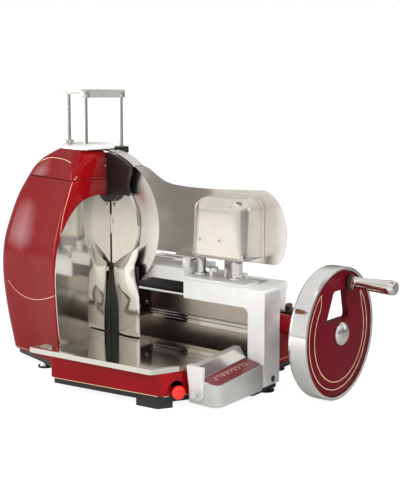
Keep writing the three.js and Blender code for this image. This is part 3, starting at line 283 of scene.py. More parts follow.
def smooth_by_angle(obj, width, angle=28):
    """Clean shading: edges sharper than the angle get a round of a width in metres, the rest is smooth."""
    mesh = obj.data
    if "custom_normal" in mesh.attributes:
        mesh.attributes.remove(mesh.attributes["custom_normal"])
    mesh.polygons.foreach_set("use_smooth", [True] * len(mesh.polygons))
    weld = obj.modifiers.new("weld", "WELD")
    weld.merge_threshold = WELD_GAP
    if width:
        edge = obj.modifiers.new("edge", "BEVEL")
        edge.limit_method = "ANGLE"
        edge.angle_limit = math.radians(angle)
        edge.width = width
        edge.segments = 2
        edge.harden_normals = True
    else:
        split = obj.modifiers.new("split", "EDGE_SPLIT")
        split.split_angle = math.radians(angle)


for name, obj in frame["nodes"].items():
    obj.data.materials.clear()
    obj.data.materials.append(SPECIAL.get(name, MATS[SLOT_OF[name]]))
    smooth_by_angle(obj, 0 if name in SHARP else SOFT_EDGE)

# Mesh helpers, in machine millimetres where they don't say metres


def clean_mesh(name, verts, faces, weld=True):
    """A mesh from points in metres, with its doubles joined and its faces turned outwards."""
    mesh = bpy.data.meshes.new(name)
    mesh.from_pydata(verts, [], faces)
    bm = bmesh.new()
    bm.from_mesh(mesh)
    if weld:
        bmesh.ops.remove_doubles(bm, verts=bm.verts, dist=JOIN_GAP)
    bmesh.ops.recalc_face_normals(bm, faces=bm.faces)
    bm.to_mesh(mesh)
    bm.free()
    return mesh


def add(name, verts, faces, body, slot, mat=None, replaces=(), width=0.0, angle=30):
    """A finished piece: mesh, material, soft edges and the body that it rides on."""
    mesh = clean_mesh(name, [at(*v) for v in verts], faces)
    obj = bpy.data.objects.new(name, mesh)
    scene.collection.objects.link(obj)
    mesh.materials.append(mat or MATS[slot])
    smooth_by_angle(obj, width / MM, angle)
    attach(obj, body)
    if replaces:
        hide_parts(*replaces)
    return obj


def walled(obj, thickness, offset=-1):
    """Gives an open skin its wall: inwards, or half to each side with offset 0."""
    wall = obj.modifiers.new("wall", "SOLIDIFY")
    wall.thickness = thickness / MM
    wall.offset = offset


def lathe(profile, axis, centre, steps=64):
    """Verts and faces of a profile of (radius, place on the axis) turned about X or Z through a point."""
    verts, faces, n = [], [], len(profile)
    for k in range(steps):
        a = math.tau * k / steps
        for r, h in profile:
            p, q = centre[0] + r * math.cos(a), centre[1] + r * math.sin(a)
            verts.append((h, p, q) if axis == "x" else (p, q, h))
    for k in range(steps):
        for i in range(n - 1):
            a, b = k * n + i, ((k + 1) % steps) * n + i
            faces.append((a, a + 1, b + 1, b))
    return verts, faces


def prism(outline, axis, a, b):
    """Verts and faces of a flat outline drawn out along an axis from a to b."""
    place = {"x": lambda p, h: (h, p[0], p[1]), "y": lambda p, h: (p[0], h, p[1]),
             "z": lambda p, h: (p[0], p[1], h)}[axis]
    n = len(outline)
    verts = [place(p, a) for p in outline] + [place(p, b) for p in outline]
    faces = [tuple(range(n)), tuple(range(2 * n - 1, n - 1, -1))]
    faces += [(i, (i + 1) % n, (i + 1) % n + n, i + n) for i in range(n)]
    return verts, faces


def rectangle(x0, x1, y0, y1):
    return [(x0, y0), (x1, y0), (x1, y1), (x0, y1)]


def block(x, y, z):
    """Verts and faces of a box between two values on each axis."""
    return prism(rectangle(*x, *y), "z", *z)


def rounded(corners, steps=8, closed=True):
    """Outline through corners of (x, y, radius), each rounded by a parabola."""
    points, n = [], len(corners)
    for i, (x, y, r) in enumerate(corners):
        here = Vector((x, y))
        back = Vector(corners[i - 1][:2]) - here
        ahead = Vector(corners[(i + 1) % n][:2]) - here
        reach = min(r, back.length * 0.49, ahead.length * 0.49)
        if reach <= 0 or (not closed and i in (0, n - 1)):
            points.append((x, y))
            continue
        p, q = here + back.normalized() * reach, here + ahead.normalized() * reach
        for k in range(steps + 1):
            t = k / steps
            w = p * (1 - t) ** 2 + here * 2 * t * (1 - t) + q * t * t
            points.append((w.x, w.y))
    return points


def skin(rings, closed=True, caps=(False, False)):
    """Verts and faces of a surface through rings with the same count of points."""
    n = len(rings[0])
    verts = [p for ring in rings for p in ring]
    faces = []
    for k in range(len(rings) - 1):
        for i in range(n if closed else n - 1):
            a, b = k * n + i, k * n + (i + 1) % n
            faces.append((a, b, b + n, a + n))
    if caps[0]:
        faces.append(tuple(range(n - 1, -1, -1)))
    if caps[1]:
        faces.append(tuple(range((len(rings) - 1) * n, len(rings) * n)))
    return verts, faces


def knurled(centre, levels, teeth, depth):
    """An upright knob with fine teeth: levels are (height, radius between the teeth)."""
    turns = [(math.pi * k / teeth, 1 if k % 2 else 1 + depth) for k in range(2 * teeth)]
    x, y = centre
    rings = [[(x + r * f * math.cos(a), y + r * f * math.sin(a), z) for a, f in turns] for z, r in levels]
    return skin(rings, True, (True, True))


def spline(points, steps=10):
    """Smooth curve through points of any length."""
    out = []
    for i in range(len(points) - 1):
        p0, p1 = points[max(i - 1, 0)], points[i]
        p2, p3 = points[i + 1], points[min(i + 2, len(points) - 1)]
        for k in range(steps):
            t = k / steps
            out.append(tuple(0.5 * (2 * b + (c - a) * t + (2 * a - 5 * b + 4 * c - d) * t * t
                                    + (3 * b - a - 3 * c + d) * t ** 3)
                             for a, b, c, d in zip(p0, p1, p2, p3)))
    return out + [tuple(points[-1])]


def carve(obj, verts, faces):
    """Cuts a shape out of a piece's mesh."""
    tool = bpy.data.objects.new("cutter", clean_mesh("cutter", [at(*v) for v in verts], faces))
    scene.collection.objects.link(tool)
    for modifier in obj.modifiers:
        modifier.show_viewport = False
    cut = obj.modifiers.new("cut", "BOOLEAN")
    cut.object = tool
    cut.solver = "EXACT"
    graph = bpy.context.evaluated_depsgraph_get()
    graph.update()
    done = bpy.data.meshes.new_from_object(obj.evaluated_get(graph))
    obj.modifiers.remove(cut)
    for modifier in obj.modifiers:
        modifier.show_viewport = True
    old, used = obj.data, tool.data
    done.name = old.name
    obj.data = done
    bpy.data.objects.remove(tool)
    bpy.data.meshes.remove(used)
    bpy.data.meshes.remove(old)


# Painted lines and screw heads

HOUSING_LINE, PLINTH_LINE, FLAT_LINE, DISC_LINE = 1.1, 0.9, 1.2, 1.3
LINE_HEIGHT, LINE_LIFT = 0.12, -0.03
HEAD = ((1, -0.2), (1, 0.5), (0.86, 1.0), (0.55, 1.35), (0.2, 1.5))     # part of the radius, height
HEAD_SIDES, GROOVE_REACH, GROOVE_FOOT, GROOVE_TOP = 20, 0.8, 0.9, 1.62


def line_on(name, points, normals, width, body, height=LINE_HEIGHT):
    """A thin gold line along points in metres, a hair above the surface with the given normals."""
    rows = []
    for i, (p, n) in enumerate(zip(points, normals)):
        ahead = points[min(i + 1, len(points) - 1)] - points[max(i - 1, 0)]
        side = ahead.cross(n).normalized() * width / (2 * MM)
        low, high = n * LINE_LIFT / MM, n * height / MM
        rows.append([p - side + low, p - side + high, p + side + high, p + side + low])
    verts = [tuple(v) for row in rows for v in row]
    faces = [(k * 4 + i, k * 4 + (i + 1) % 4, k * 4 + 4 + (i + 1) % 4, k * 4 + 4 + i)
             for k in range(len(rows) - 1) for i in range(4)]
    faces += [(0, 1, 2, 3), tuple(len(verts) - 1 - i for i in range(4))]
    mesh = clean_mesh(name, verts, faces, weld=False)
    obj = bpy.data.objects.new(name, mesh)
    scene.collection.objects.link(obj)
    mesh.materials.append(GOLD)
    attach(obj, body)


def straight(name, points, out, width, body):
    """A painted line through machine points on a flat face that looks along out."""
    places = [at(*p) for p in points]
    line_on(name, places, [Vector(out).normalized()] * len(places), width, body)


def surface_of(obj):
    """Search tree of a piece's finished surface, in metres."""
    graph = bpy.context.evaluated_depsgraph_get()
    graph.update()
    done = obj.evaluated_get(graph)
    mesh = done.to_mesh()
    tree = BVHTree.FromPolygons([obj.matrix_world @ v.co for v in mesh.vertices],
                                [tuple(p.vertices) for p in mesh.polygons])
    done.to_mesh_clear()
    return tree


def first_hit(trees, u, v):
    """Where the ray through a pixel first meets one of the surfaces, and the normal there, or None."""
    direction = sight(u, v)
    hits = [tree.ray_cast(camera.location, direction) for tree in trees]
    hits = [hit for hit in hits if hit[0] is not None]
    if not hits:
        return None
    place, normal = min(hits, key=lambda hit: hit[3])[:2]
    return place, (normal if normal.dot(direction) < 0 else -normal)


def traced(name, pixels, trees, width, body):
    """A painted line whose pixels are given, laid on the first of the surfaces that is met."""
    hits = [first_hit(trees, u, v) for u, v in spline(pixels, 8)]
    hits = [hit for hit in hits if hit]
    line_on(name, [place for place, _ in hits], [normal for _, normal in hits], width, body)


def screw(name, centre, out, r, body, slot="chrome", groove=0.6):
    """A slotted round head on a surface: centre in machine millimetres, out the way that it faces."""
    out = Vector(out).normalized()
    side = out.orthogonal().normalized()
    up = out.cross(side)
    c = Vector(centre)
    rings = []
    for part, h in HEAD:
        x, y = side * (r * part), up * (r * part)
        turns = [math.tau * k / HEAD_SIDES for k in range(HEAD_SIDES)]
        rings.append([tuple(c + x * math.cos(a) + y * math.sin(a) + out * h) for a in turns])
    add(name, *skin(rings, True, (True, True)), body, slot, angle=60)
    half = r * GROOVE_REACH
    corners = [c + side * a * half + up * b * groove / 2 + out * h for h in (GROOVE_FOOT, GROOVE_TOP)
               for a, b in rectangle(-1, 1, -1, 1)]
    faces = [(0, 3, 2, 1), (4, 5, 6, 7), (0, 1, 5, 4), (1, 2, 6, 5), (2, 3, 7, 6), (3, 0, 4, 7)]
    add(name + "_slot", [tuple(v) for v in corners], faces, body, "rubber")


# Drive housing: the same skin as the CAD solids', with many more rings. The lists are (height, place).

WALL_X, HOUSING_BACK, HOUSING_WALL = -288, 160, 4
PLINTH_TOP, SEAM_Z, HOUSING_TOP = 28, 426, 490
RIDGE_Y = [(15, 8), (94, -2), (183, -8.5), (252, -10), (291, -5), (334, 7.5), (378, 23.5), (421, 45),
           (454, 56), (476, 68), (490, 86)]
LEFT_X = [(15, -525), (60, -533), (105, -542), (150, -549), (190, -553), (230, -552), (265, -548),
          (300, -543), (330, -536), (360, -528), (385, -520), (405, -512), (430, -497), (460, -465),
          (480, -426), (490, -402)]
RIGHT_X = [(455, WALL_X), (470, WALL_X - 2), (481, WALL_X - 8), (490, WALL_X - 24)]
BEND, BEND_SLOPE, BEND_CORNER, FRONT_SLOPE = 108, 0.36, 60, 0.2
FRONT_CORNER, BACK_CORNER, BACK_SHARE, BACK_STRIP, LEAST_DEPTH = 46, 30, 0.4, 2.2, 12
RIDGE_CORNER = [(400, 7), (426, 10), (450, 20), (470, 36), (490, 60)]


def curve_at(points, z):
    """Value at a height on the smooth curve through (height, value) points."""
    if z <= points[0][0]:
        return points[0][1]
    last = len(points) - 1
    if z >= points[last][0]:
        return points[last][1]
    i = next(k for k in range(last) if z < points[k + 1][0])
    (z0, v0), (z1, v1) = points[i], points[i + 1]

    def slope(k):
        a, b = (max(k - 1, 0), min(k + 1, last))
        return (points[b][1] - points[a][1]) / (points[b][0] - points[a][0])

    h = z1 - z0
    t = (z - z0) / h
    return (v0 * (2 * t ** 3 - 3 * t * t + 1) + v1 * (3 * t * t - 2 * t ** 3)
            + h * (slope(i) * (t ** 3 - 2 * t * t + t) + slope(i + 1) * (t ** 3 - t * t)))


def housing_ring(z, closed=True):
    """Plan of the housing at a height; an open one has only a short strip of the back, on its left."""
    right, left, ridge_y = curve_at(RIGHT_X, z), curve_at(LEFT_X, z), curve_at(RIDGE_Y, z)
    run = min(BEND, (right - left) / 2)
    bend_x, bend_y = right - run, ridge_y + run * BEND_SLOPE
    left_y = min(bend_y + (bend_x - left) * FRONT_SLOPE, HOUSING_BACK - LEAST_DEPTH)
    back_corner = min(BACK_CORNER, (HOUSING_BACK - left_y) * BACK_SHARE)
    corners = [(left, HOUSING_BACK, back_corner), (left, left_y, min(FRONT_CORNER, (right - left) / 3)),
               (bend_x, bend_y, BEND_CORNER), (right, ridge_y, curve_at(RIDGE_CORNER, z))]
    if closed:
        corners = [(right, HOUSING_BACK, 0)] + corners
    else:
        corners = [(left + back_corner * BACK_STRIP, HOUSING_BACK, 0)] + corners + [(right, HOUSING_BACK, 0)]
    return [(x, y, z) for x, y in rounded(corners, 14, closed)]


def housing_shell():
    low, high, steps = PLINTH_TOP + 0.3, SEAM_Z - 0.4, 90
    rings = [housing_ring(low + (high - low) * k / steps, closed=False) for k in range(steps + 1)]
    obj = add("housing_shell", *skin(rings, False), "root", "red_enamel",
              replaces=("drive_housing",), angle=40)
    walled(obj, HOUSING_WALL)
    return obj


def housing_lid():
    low, steps = SEAM_Z + 0.8, 30
    rises = [math.sin(math.pi / 2 * k / steps) for k in range(steps + 1)]
    rings = [housing_ring(low + (HOUSING_TOP - low) * rise) for rise in rises]
    obj = add("housing_lid", *skin(rings, True, (False, True)), "root", "red_enamel",
              replaces=("housing_top_cover",), angle=40)
    walled(obj, HOUSING_WALL)
    return obj


shell, lid = housing_shell(), housing_lid()

# Gold lines and small screws on the housing, by their pixels in the photograph

RIDGE_PX = [(76.5, 178), (72, 184), (66, 205), (62, 222), (58, 257), (58, 283), (61.4, 320), (62, 337)]
CROWN_PX = [(28, 172), (34, 166), (43, 160), (52, 157.5), (64, 159.5), (71, 163)]
SWEEP_PX = [(8, 280), (15.7, 290), (25.7, 297), (37, 299.7), (48.6, 298), (55.7, 295)]
PLINTH_PX = [(15.5, 345), (22, 348), (32, 351), (43, 353.5), (52, 355)]
SCREW_PX, SCREW_R = [(76.6, 177.4), (105.5, 165.6)], 2.2
shell_tree, lid_tree = surface_of(shell), surface_of(lid)
traced("ridge_line", RIDGE_PX, [shell_tree, lid_tree], HOUSING_LINE, "root")
traced("crown_line", CROWN_PX, [lid_tree], HOUSING_LINE, "root")
traced("sweep_line", SWEEP_PX, [shell_tree], HOUSING_LINE, "root")
for k, (u, v) in enumerate(SCREW_PX):
    spot, out = first_hit([lid_tree], u, v)
    screw(f"housing_screw_{k + 1}", [spot[i] * MM - SHIFT[i] for i in range(3)], out, SCREW_R, "root")
traced("plinth_line", PLINTH_PX, [shell_tree], PLINTH_LINE, "root")

# Painted lines on the walls of the front box, given by their corners in plan, and on the base's side

BOX_START, BOX_NOSE, BOX_EAR, BOX_LINE_Z = (-265, -47), (4, -9), (38, 45), 27.5
BASE_SIDE_X, BASE_LINE_Z, BASE_LINE_Y = 59, 37.5, (256, 390)


def box_line(name, start, stop, parts):
    """A painted line on one wall of the front box, between two parts of its run."""
    run = Vector((stop[0] - start[0], stop[1] - start[1]))
    points = [(start[0] + run.x * t, start[1] + run.y * t, BOX_LINE_Z) for t in parts]
    straight(name, points, (run.y, -run.x, 0), FLAT_LINE, "root")


box_line("box_line", BOX_START, BOX_NOSE, (0.03, 0.97))
box_line("box_line_nose", BOX_NOSE, BOX_EAR, (0.08, 0.24))
box_line("box_line_ear", BOX_NOSE, BOX_EAR, (0.76, 0.93))
straight("base_line", [(BASE_SIDE_X, y, BASE_LINE_Z) for y in BASE_LINE_Y], (1, 0, 0), FLAT_LINE, "root")

# Deflector beside the blade: a sheet that is drawn in, bowed and twisted. Its edges are (X, Z).

DEFLECTOR_Y, DEFLECTOR_SHEET, DEFLECTOR_BOW, DEFLECTOR_TWIST, DEFLECTOR_ACROSS = 158, 1.2, 9, 3, 14
DEFLECTOR_LEFT = [(-276, 234), (-275, 223), (-271, 190), (-266, 157), (-263, 128), (-262, 80.5)]
DEFLECTOR_RIGHT = [(-199, 282), (-204.6, 256), (-211.5, 237), (-208, 207), (-198.5, 170), (-197, 80.5)]


def deflector():
    """Most bowed at two fifths of the way down; the twist is one way above the middle and the other below."""
    left, right = spline(DEFLECTOR_LEFT, 6), spline(DEFLECTOR_RIGHT, 6)
    rings = []
    for k, ((x0, z0), (x1, z1)) in enumerate(zip(left, right)):
        down = k / (len(left) - 1)
        fall = 0.35 + 0.65 * math.sin(math.pi * min(1, down * 1.25))
        ring = []
        for n in range(DEFLECTOR_ACROSS + 1):
            t = n / DEFLECTOR_ACROSS
            bow = DEFLECTOR_BOW * math.sin(math.pi * t) * fall
            twist = DEFLECTOR_TWIST * (t - 0.5) * math.sin(math.tau * min(1, down * 1.1))
            ring.append((x0 + (x1 - x0) * t, DEFLECTOR_Y - bow + twist, z0 + (z1 - z0) * t))
        rings.append(ring)
    sheet = add("deflector_sheet", *skin(rings, False), "root", "mirror_steel", PLATE_STEEL,
                replaces=("slice_deflector",), angle=60)
    walled(sheet, DEFLECTOR_SHEET, 0)


deflector()

# Black boxes that paint shade: in the gap behind the deflector, and in the slit at the back edge of the wall
# plate

SHADES = {
    "gap_shade": ((-286, -203), (160.6, 161.6), (78.4, 236)),
    "plate_edge_shade": ((-288.6, -286.2), (159.4, 162.6), (80, 335)),
}


def black_boxes(boxes):
    """Plain black boxes, each given by two values on every axis."""
    for name, sides in boxes.items():
        add(name, *block(*sides), "root", "black_enamel")


black_boxes(SHADES)

# Black end of the panel, the bracket with two bolts on it, the two thin rods along the panel with the groove
# behind them, and black sheets over the base's step that paint the shade there

PANEL_SHEET = 2
PANEL_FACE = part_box("wall_panel")[1][1] * MM - SHIFT[1] - PANEL_SHEET
PANEL_END = [(-289, 118, 2), (-238, 118, 2), (-238, 167, 8), (-289, 167, 2)]
BRACKET = [(-280, 117, 2), (-240, 117, 4), (-240, 144, 10), (-252, 147, 5), (-280, 144, 3)]
BOLTS, BOLT_R, BOLT_GROOVE = [(-248.3, 138.3), (-270.5, 126)], 4.4, 0.9
THIN_RODS_Z, THIN_ROD = (118.7, 124.6), [(0, -272), (1.3, -271.5), (1.3, 50), (0, 50.5)]
PANEL_END_Y, BRACKET_Y = (PANEL_FACE - 1.2, PANEL_FACE + 0.2), (PANEL_FACE - 4.5, PANEL_FACE - 1)
BOLT_Y, THIN_ROD_Y = PANEL_FACE - 4.4, PANEL_FACE - 1.6
GROOVE_AND_STEP_SHADE = {
    "rod_groove": ((-268, 50), (PANEL_FACE - 0.8, PANEL_FACE + 0.2), (117, 126.5)),
    # Painted shade: black sheets over the top and the side of the base's step
    "step_shade_top": ((-288, -239.2), (163, PANEL_FACE - 0.1), (116.6, 117.5)),
    "step_shade_side": ((-240.1, -239.1), (163, PANEL_FACE - 0.1), (79, 116.8)),
}
FORWARD = (0, -1, 0)
add("panel_end", *prism(rounded(PANEL_END, 6), "y", *PANEL_END_Y), "root", "black_enamel", width=0.4)
add("corner_bracket", *prism(rounded(BRACKET, 5), "y", *BRACKET_Y), "root", "black_enamel", width=0.5)
for k, (x, z) in enumerate(BOLTS):
    screw(f"bracket_bolt_{k + 1}", (x, BOLT_Y, z), FORWARD, BOLT_R, "root", "steel", BOLT_GROOVE)
black_boxes(GROOVE_AND_STEP_SHADE)
for k, z in enumerate(THIN_RODS_Z):
    add(f"guide_rod_{k + 1}", *lathe(THIN_ROD, "x", (THIN_ROD_Y, z), 20), "root", "chrome", angle=60)

# Sheet behind the rails, shown a little shorter, and the round handle of the lever beside it

GUARD, GUARD_X = [(390, 117.3), (397, 117.3), (397, 176), (394, 176), (394, 120.3), (390, 120.3)], (-480, 4)
HANDLE, HANDLE_X = [(338, 112, 4), (358, 112, 4), (359, 160, 9), (337, 160, 9)], (62, 69.5)
add("guard_sheet", *prism(GUARD, "x", *GUARD_X), "root", "black_enamel", replaces=("rail_guard",), width=0.4)
add("lock_handle", *prism(rounded(HANDLE, 6), "x", *HANDLE_X), "lock", "brown_knob", width=1.5)

# Flywheel's turned rim, and the gold lines on its disc, whose face rises 1 mm in DISC_CONE to its middle.
# Profiles are (radius, X).

AXIS = (AXIS_Y, AXIS_Z)
RIM = [(125, 234.7, 0), (125, 203, 1.2), (129.5, 203, 2), (134, 208, 6), (134, 245, 8), (127.1, 244.4, 1.5),
       (127.1, 234.7, 0)]
DISC_X, DISC_BEND_R, DISC_R, DISC_DROP, DISC_CONE = 242, 100, 126.7, 4, 80
OUTER_R, INNER_R, LINE_END_R, LINE_START, LINE_STOP = 113, 97, 100, 30, -222
rim = rounded(RIM, 8)
add("wheel_rim", *lathe(rim + rim[:1], "x", AXIS, 128), "flywheel", "chrome",
    replaces=("flywheel_rim",), angle=50)


def disc_face(r):
    """X of the disc's front face at a radius: nearly flat up to the bend, falling back outside it."""
    if r < DISC_BEND_R:
        return DISC_X + (DISC_BEND_R - r) / DISC_CONE
    return DISC_X - (r - DISC_BEND_R) / (DISC_R - DISC_BEND_R) * DISC_DROP


def disc_line(name, radius, start, stop, steps=90):
    """A gold line on the disc: an arc with both ends drawn to the radius between the two lines."""
    turns = [(radius, start + (stop - start) * k / steps) for k in range(steps + 1)]
    points = []
    for r, degrees in [(LINE_END_R, LINE_START)] + turns + [(LINE_END_R, LINE_STOP)]:
        a = math.radians(degrees)
        points.append(at(disc_face(r), AXIS_Y + r * math.cos(a), AXIS_Z + r * math.sin(a)))
    line_on(name, points, [Vector((1, 0, 0))] * len(points), DISC_LINE, "flywheel", height=0.3)


disc_line("disc_line_outer", OUTER_R, 44, -232)
disc_line("disc_line_inner", INNER_R, 24, -216)

# Crank pin with its black boss and brass collar, the turning grip, and the domed hub

CRANK_R, CRANK_ANGLE = 104, math.radians(71)
CRANK = (AXIS_Y + CRANK_R * math.cos(CRANK_ANGLE), AXIS_Z + CRANK_R * math.sin(CRANK_ANGLE))
PIN = [(0, 230), (6, 230), (6, 243), (6, 256), (6, 337), (0, 337)]
BOSS = [(6.1, 243.3), (15.2, 243.3), (16, 244.2), (16, 248.5), (14.8, 249.6), (6.1, 249.6), (6.1, 243.3)]
COLLAR = [(6.1, 249.7), (12.5, 249.7), (13, 250.4), (13, 253), (11, 254.6), (6.1, 254.6), (6.1, 249.7)]
GRIP_BORE = [(6.8, 338.5), (6.8, 255.2)]
GRIP = [(11.8, 255.2), (12.8, 256.4), (12.9, 259), (12.3, 264), (12.1, 275), (12.5, 292), (13.4, 312),
        (14.3, 326), (14.8, 333), (14.7, 338), (13.9, 342.5), (12, 345.2), (8, 346), (0, 346)]
DOME_R, DOME_FOOT, DOME_RISE = 24.4, 244.4, 13
HUB = [(9.3, 206), (20, 206), (20, 243.3), (23.8, 243.3), (DOME_R, DOME_FOOT)]
add("crank_core", *lathe(PIN, "x", CRANK, 32), "flywheel", "chrome", replaces=("crank_pin",), angle=50)
add("crank_boss", *lathe(BOSS, "x", CRANK, 48), "flywheel", "black_enamel", angle=50)
add("crank_collar", *lathe(COLLAR, "x", CRANK, 48), "flywheel", "chrome", BRASS, angle=50)
add("grip_barrel", *lathe(GRIP_BORE + spline(GRIP, 5), "x", CRANK, 64), "grip", "chrome", GRIP_STEEL,
    replaces=("crank_grip",), angle=50)
dome = [(DOME_R * math.cos(math.radians(a)), DOME_FOOT + DOME_RISE * math.sin(math.radians(a)))
        for a in range(6, 91, 6)]
add("hub_dome", *lathe(HUB + dome, "x", AXIS, 64), "flywheel", "chrome", replaces=("flywheel_hub",), angle=50)

# Hood over the meat clamp, with its flange, guide and screws

HOOD_LEFT, HOOD_RIGHT, HOOD_FRONT, HOOD_BACK, HOOD_FOOT, HOOD_TOP = -95, 41, 205, 278, 266, 395
HOOD_ROUND, HOOD_WALL, HOOD_CORNER_LOW, HOOD_CORNER = 28, 3, 20, 30
COLUMNS = {"right": (16, 223, 12.5), "left": (-78, 225, 9.5)}           # X, Y and radius
GUIDE_Y, GUIDE_PLAY = (211, 239), 0.8
HOOD_SCREWS, HOOD_SCREW_R, HOOD_GROOVE = ((-67.3, 304.1), (-15.8, 305.5)), 3.4, 0.8


def hood_ring(z, inset, corner):
    """Plan of the hood at a height: round corners in front, nearly square ones at the back."""
    r = corner - inset / 2
    left, right = HOOD_LEFT + inset, HOOD_RIGHT - inset
    front, back = HOOD_FRONT + inset, HOOD_BACK - 2
    points = rounded([(left, front, r), (right, front, r), (right, back, 1), (left, back, 1)], 16)
    return [(x, y, z) for x, y in points]


def hood_shell():
    height, growth = HOOD_TOP - HOOD_ROUND - HOOD_FOOT, HOOD_CORNER - HOOD_CORNER_LOW
    rings = [hood_ring(HOOD_FOOT + height * k / 12, 0, HOOD_CORNER_LOW + growth * k / 12) for k in range(13)]
    for k in range(1, 19):
        a = math.radians(90 * k / 18)
        drop, inset = HOOD_ROUND * (1 - math.sin(a)), HOOD_ROUND * (1 - math.cos(a))
        rings.append(hood_ring(HOOD_TOP - drop, inset, HOOD_CORNER))
    obj = add("hood_shell", *skin(rings, True, (False, True)), "clamp", "mirror_steel", HOOD_NICKEL,
              replaces=("clamp_hood",), angle=50)
    walled(obj, HOOD_WALL)


def arch(grow, foot, heel, crown):
    """The hood's outline from the front, grown to the sides and the top, with its lower and upper rounds."""
    left, right, top = HOOD_LEFT - grow, HOOD_RIGHT + grow, HOOD_TOP + grow
    return rounded([(left, foot, heel), (right, foot, heel), (right, top, crown), (left, top, crown)], 14)


def hood_flange():
    outer, inner = arch(HOOD_WALL, HOOD_FOOT, 2, 34), arch(-HOOD_WALL, HOOD_FOOT - 4, 1, 30)
    obj = add("hood_flange", *prism(outer, "y", HOOD_BACK - 2.4, HOOD_BACK + 6.5), "clamp", "mirror_steel",
              HOOD_NICKEL, width=0.6)
    carve(obj, *prism(inner, "y", HOOD_BACK - 6, HOOD_BACK + 4))


def hood_guide():
    """Plate inside the hood with a hole for each column."""
    inside = HOOD_LEFT + HOOD_WALL + 0.2, HOOD_RIGHT - HOOD_WALL - 0.2
    obj = add("hood_guide", *block(inside, GUIDE_Y, (HOOD_FOOT + 2, HOOD_FOOT + 11)), "clamp",
              "cast_aluminium")
    low, high = HOOD_FOOT - 5, HOOD_FOOT + 20
    for x, y, r in COLUMNS.values():
        bore = r + GUIDE_PLAY
        carve(obj, *lathe([(0, low), (bore, low), (bore, high), (0, high)], "z", (x, y), 32))


hood_shell()
hood_flange()
hood_guide()
for k, (x, z) in enumerate(HOOD_SCREWS):
    screw(f"hood_screw_{k + 1}", (x, HOOD_FRONT - 0.1, z), FORWARD, HOOD_SCREW_R, "clamp",
          groove=HOOD_GROOVE)

# Knurled knob with its stem, stop rod and columns with their collars, all on the feed table's top

FEED_TOP = 225
KNOB, STOP_ROD = (-46, 219), (-12, 223)
KNOB_LEVELS = ((236, 11.25), (237, 12.5), (244.5, 12.5), (245.5, 11.25))
KNOB_TEETH, KNOB_DEPTH = 32, 0.064
STEM = [(0, FEED_TOP), (6, FEED_TOP), (6, 236.2), (0, 236.2)]
STOP = [(0, FEED_TOP), (5, FEED_TOP), (5, 228), (3.6, 229), (3.6, 244), (2.8, 245), (0, 245)]
COLLAR_STEPS = [(6, FEED_TOP), (6.4, 225.4), (6.4, 228.5), (5, 230.2), (2.2, 231.2), (1.5, 233), (0, 234.6),
                (0, 350), (-2, 352)]                                    # out from the column's radius, height
add("clamp_knob", *knurled(KNOB, KNOB_LEVELS, KNOB_TEETH, KNOB_DEPTH), "feed", "chrome", angle=35)
add("clamp_knob_stem", *lathe(STEM, "z", KNOB, 24), "feed", "chrome", angle=50)
add("stop_rod", *lathe(STOP, "z", STOP_ROD, 24), "feed", "chrome", angle=50)
for name, (x, y, r) in COLUMNS.items():
    profile = [(0, FEED_TOP)] + [(r + out, z) for out, z in COLLAR_STEPS] + [(0, COLLAR_STEPS[-1][1])]
    add(f"post_{name}", *lathe(profile, "z", (x, y), 48), "feed", "chrome",
        replaces=(f"column_{name}",), angle=50)

# Sharpener's cap, the black arm on it, the strap's ends and the rod nut

CAP_FOOT, CAP_SIDE_TOP, CAP_RISE, CAP_DRAW = 490.3, 493, 10, 14
CAP_LEFT, CAP_RIGHT, CAP_BACK, CAP_FRONT_LEFT, CAP_FRONT_RIGHT, CAP_CORNER = -400, -295, 196, 118, 92, 16
ARM, ARM_Z = [(-332, 181, 2), (-297, 181, 2), (-297, 244, 15), (-332, 244, 15)], (490.2, 493)
ARM_BOSS, ARM_BOSS_Z = [(-332, 207, 12), (-297, 207, 12), (-297, 244, 15), (-332, 244, 15)], (478.2, 490.2)
ROD_X, ROD_Y, ROD_TOP, STRAP_H = -312, {"front": 114, "rear": 227}, 602.7, 18
LEFT_ROD = (-364, 114)
NUT_LEVELS = ((503.1, 9.2), (504, 10), (509.6, 10), (510.4, 9.2))
NUT_TEETH, NUT_DEPTH = 20, 0.05


def cap_ring(z, inset):
    left, right, back = CAP_LEFT + inset, CAP_RIGHT - inset, CAP_BACK - inset
    corners = [(left, CAP_FRONT_LEFT + inset), (right, CAP_FRONT_RIGHT + inset), (right, back), (left, back)]
    return [(x, y, z) for x, y in rounded([(*corner, CAP_CORNER) for corner in corners], 12)]


def cap():
    rings = [cap_ring(CAP_FOOT, 0), cap_ring(CAP_SIDE_TOP, 0)]
    for k in range(1, 13):
        a = math.radians(90 * k / 12)
        rings.append(cap_ring(CAP_SIDE_TOP + CAP_RISE * math.sin(a), CAP_DRAW * (1 - math.cos(a))))
    add("cap_top", *skin(rings, True, (True, True)), "root", "cast_aluminium", CAP_METAL,
        replaces=("housing_cap",), angle=50)
    add("cap_arm", *prism(rounded(ARM, 10), "z", *ARM_Z), "root", "black_enamel", width=0.6)
    add("cap_boss", *prism(rounded(ARM_BOSS, 10), "z", *ARM_BOSS_Z), "root", "black_enamel", width=0.8)


cap()
for name, y in ROD_Y.items():
    low, high = ROD_TOP + 0.4, ROD_TOP + 0.3 + STRAP_H
    eye = [(0, low), (8.2, low), (9, ROD_TOP + 1.2), (9, high - 1.2), (8.2, high - 0.4), (0, high - 0.4)]
    add(f"strap_eye_{name}", *lathe(eye, "z", (ROD_X, y), 40), "lift", "steel", SATIN_STEEL, angle=50)
add("rod_nut", *knurled(LEFT_ROD, NUT_LEVELS, NUT_TEETH, NUT_DEPTH), "root", "chrome", angle=35)

# Desk of the slice thickness block: polished slope beside the tray, figures and ticks on the label

